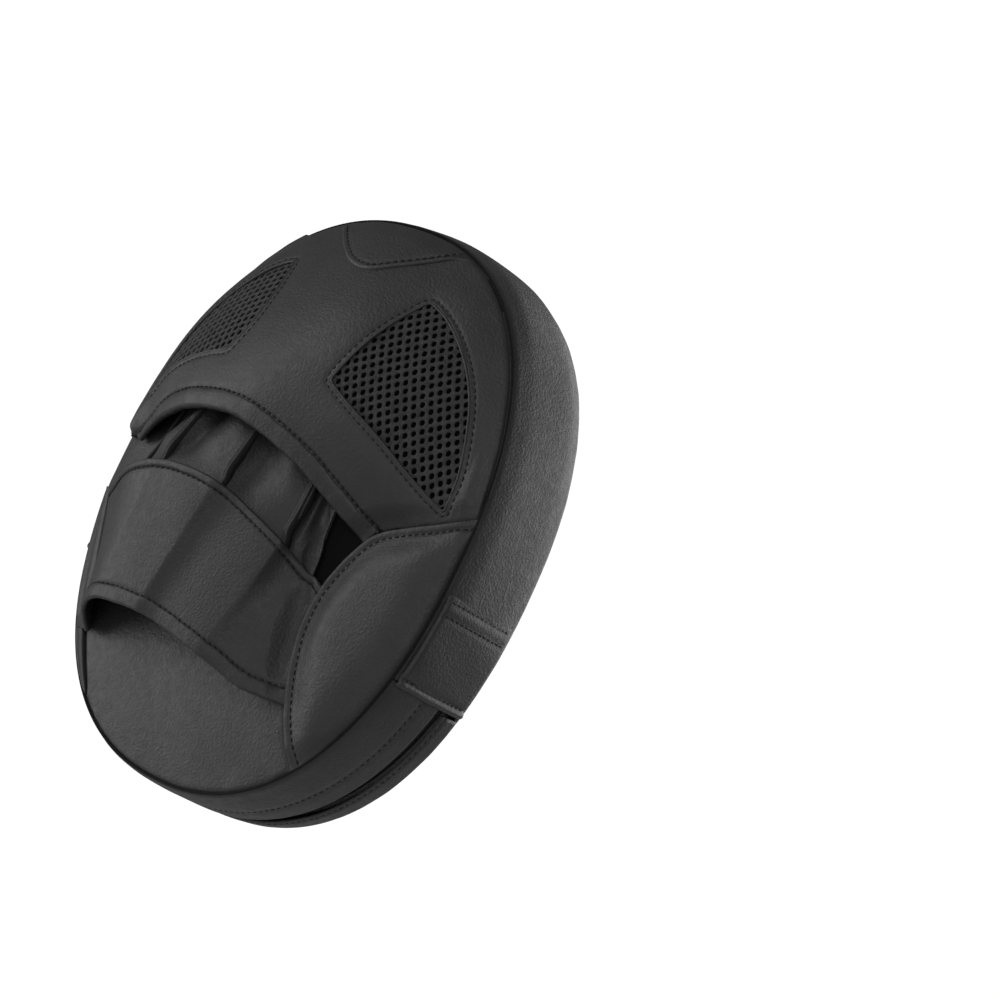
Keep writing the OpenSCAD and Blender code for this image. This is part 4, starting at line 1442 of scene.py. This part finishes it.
def pad_insides():
    """Lining, dense core and soft face foam of the striking pad."""
    inner_block("pad_lining", [[FOAM_INSET, 1, PAD_BACK_Y - CLOTH], [FOAM_INSET, 1, PAD_BACK_Y]],
                CLOTH_GREY, "striking_pad")
    front = LEATHER + 2 * SEWN_GAP + 5
    core = [[FOAM_INSET, r, min(crown_y(r) + front, PAD_BACK_Y - 2)] for r in FACE_RINGS]
    inner_block("core_foam", core + [[FOAM_INSET, 1, PAD_BACK_Y - CLOTH - 0.3]], FIRM_FOAM, "striking_pad")
    out = [[FOAM_INSET, r, crown_y(r) + LEATHER + SEWN_GAP] for r in FACE_RINGS]
    back = [[i, r, y + 5] for i, r, y in out[::-1]]
    inner_block("face_foam", out + back, SOFT_FOAM, "striking_pad")


def thumb_foam():
    """Wedge of soft foam under the thumb panel."""
    seam = offset_line(THUMB_SEAM, -LEATHER)
    outline = np.vstack([oval(np.linspace(174, 231, 120), 2.2), seam[radius_part(*seam.T) < 0.97][::-1]])
    grid = fan(outline, (-70, -42), rows=20, step=2)
    x, z = grid[..., 0], grid[..., 1]
    d, _ = line_distance(grid, outline, closed=True)
    _, along = line_distance(grid, THUMB_SEAM)
    filled = THUMB_PADDING * thumb_ends(along) - LEATHER - SEWN_GAP
    y = palm_at(x, z) + filled - 0.6 - roll_off(d, 2.5, 1.5)
    piece = shell("thumb_foam", xyz(x, y, z), xyz(x, palm_at(x, z) - 3.2, z), SOFT_FOAM, wrap=True)
    stand_in(piece, "thumb_foam", "hand_shell")


# ---------- camera, floor and light ----------

LENS = 124.2
CAMERA_AT = Vector((-0.9971, 1.0045, -0.0940))
CAMERA_BACK = Vector((-0.6595, 0.7459, -0.093))
CAMERA_RIGHT = Vector((-0.7013, -0.566, 0.4334))
# Each light's direction in the camera's view as (right, up, back), and its distance, size and power
LIGHTS = {"key": ((-0.70, 0.75, 0.15), 1.6, 0.9, 6.2),
          "left_side": ((-0.95, 0.2, -0.15), 1.6, 1.1, 9),
          "gusset_side": ((0.95, -0.15, -0.25), 1.5, 0.9, 4.6),
          "hand_side": ((-0.1, 0.3, 1.0), 2.2, 1.4, 9),
          "face_side": ((0.72, -0.03, -0.68), 1.8, 1.6, 15)}
WORLD_STRENGTH = 0.17
FLOOR_HALF = 20.0
FLOOR_LOW = -0.6


def camera_frame():
    """Directions to the camera's right, up and back."""
    back = CAMERA_BACK.normalized()
    right = (CAMERA_RIGHT - CAMERA_RIGHT.dot(back) * back).normalized()
    return right, back.cross(right), back


def add_camera():
    """Camera at the photographer's place."""
    right, up, back = camera_frame()
    camera = bpy.data.objects.new("camera", bpy.data.cameras.new("camera"))
    bpy.context.scene.collection.objects.link(camera)
    camera.data.lens = LENS
    camera.data.sensor_width = 36
    camera.data.clip_start = 0.05
    camera.data.clip_end = 60
    turned = Matrix((right, up, back)).transposed().to_4x4()
    camera.matrix_world = Matrix.Translation(CAMERA_AT) @ turned
    bpy.context.scene.camera = camera


def camera_white(tree, shader):
    """Plain white where the camera sees it, and another shader for the light it gives."""
    seen = add_node(tree, "ShaderNodeLightPath")
    white = add_node(tree, "ShaderNodeEmission", Strength=1.05)
    mix = add_node(tree, "ShaderNodeMixShader")
    tree.links.new(seen.outputs["Is Camera Ray"], mix.inputs["Fac"])
    tree.links.new(shader, mix.inputs[1])
    tree.links.new(white.outputs["Emission"], mix.inputs[2])
    return mix.outputs["Shader"]


def area_light(name, direction, distance, size, power):
    """Square soft light that looks at the middle of the mitt from a direction."""
    light = bpy.data.lights.new(name, "AREA")
    light.size = size
    light.energy = power
    lamp = bpy.data.objects.new(name, light)
    bpy.context.scene.collection.objects.link(lamp)
    direction = direction.normalized()
    lamp.location = direction * distance
    lamp.rotation_mode = "QUATERNION"
    lamp.rotation_quaternion = direction.to_track_quat("Z", "Y")


def add_lights():
    """Soft lights round the camera, and an even studio."""
    right, up, back = camera_frame()
    for name, ((x, y, z), distance, size, power) in LIGHTS.items():
        area_light(name, x * right + y * up + z * back, distance, size, power)
    world = bpy.data.worlds.new("studio")
    bpy.context.scene.world = world
    world.use_nodes = True
    tree = world.node_tree
    white = camera_white(tree, tree.nodes["Background"].outputs["Background"])
    tree.nodes["Background"].inputs["Color"].default_value = (1, 1, 1, 1)
    tree.nodes["Background"].inputs["Strength"].default_value = WORLD_STRENGTH
    tree.links.new(white, tree.nodes["World Output"].inputs["Surface"])


def add_floor():
    """Pale floor well below the mitt."""
    material, tree, shader = new_material("floor_white")
    shader.inputs["Base Color"].default_value = (0.6, 0.6, 0.6, 1)
    shader.inputs["Roughness"].default_value = 0.9
    tree.links.new(camera_white(tree, shader.outputs["BSDF"]),
                   tree.nodes["Material Output"].inputs["Surface"])
    mesh = bpy.data.meshes.new("floor")
    corners = [(-1, -1), (1, -1), (1, 1), (-1, 1)]
    mesh.from_pydata([(FLOOR_HALF * x, FLOOR_HALF * y, FLOOR_LOW) for x, y in corners], [], [(0, 1, 2, 3)])
    mesh.materials.append(material)
    floor = bpy.data.objects.new("floor", mesh)
    bpy.context.scene.collection.objects.link(floor)


def hand_side():
    """Palm, thumb panel and strip, with the thumb panel's stitches and a painted shadow line along the rim
    seam.
    """
    palm_panel()
    thumb_panel()
    thumb_stitches()
    outer_panel()
    rim_seam_shadow()


def walls():
    """Walls round the mitt, with the slit and the tabs beside it."""
    side_gusset()
    wrist_walls()
    wall_row("wrist_gusset_stitches", slit_ends(0.5), WRIST_ROW_Y, wrist_rise, "hand_shell")
    wall_row("pad_gusset_stitches", slit_ends(2), PAD_BACK_Y - PAD_ROW, pad_rise, "striking_pad")
    side_tab("thumb_side_tab", -1)
    side_tab("outer_side_tab", 1)


def hood():
    """Finger hood with its lining, windows and patch."""
    hood_panel()
    hood_lining()
    arch_binding()
    for name, outline in (("thumb_side_mesh", THUMB_WINDOW), ("outer_side_mesh", OUTER_WINDOW)):
        window_trim(name, outline)
        spacer_mesh(name, outline)
    tip_patch()


def strap():
    """Hand strap with its padding, lining and hems."""
    strap_panel()
    strap_layer("strap_foam", LEATHER + SEWN_GAP, LEATHER, SOFT_FOAM)
    strap_layer("strap_lining", 2 * LEATHER + 2 * SEWN_GAP, CLOTH, CLOTH_GREY)
    strap_hems()
    strap_side()


def build():
    """The whole mitt and its studio."""
    add_camera()
    add_lights()
    add_floor()
    bpy.context.scene.view_settings.view_transform = "Standard"
    hand_side()
    walls()
    hood()
    strap()
    finger_stalls()
    pocket_shade_sheet()
    pocket_side()
    stall_ridges()
    face_cover()
    face_stitches()
    target_print()
    hand_unit_insides()
    pad_insides()
    thumb_foam()


build()
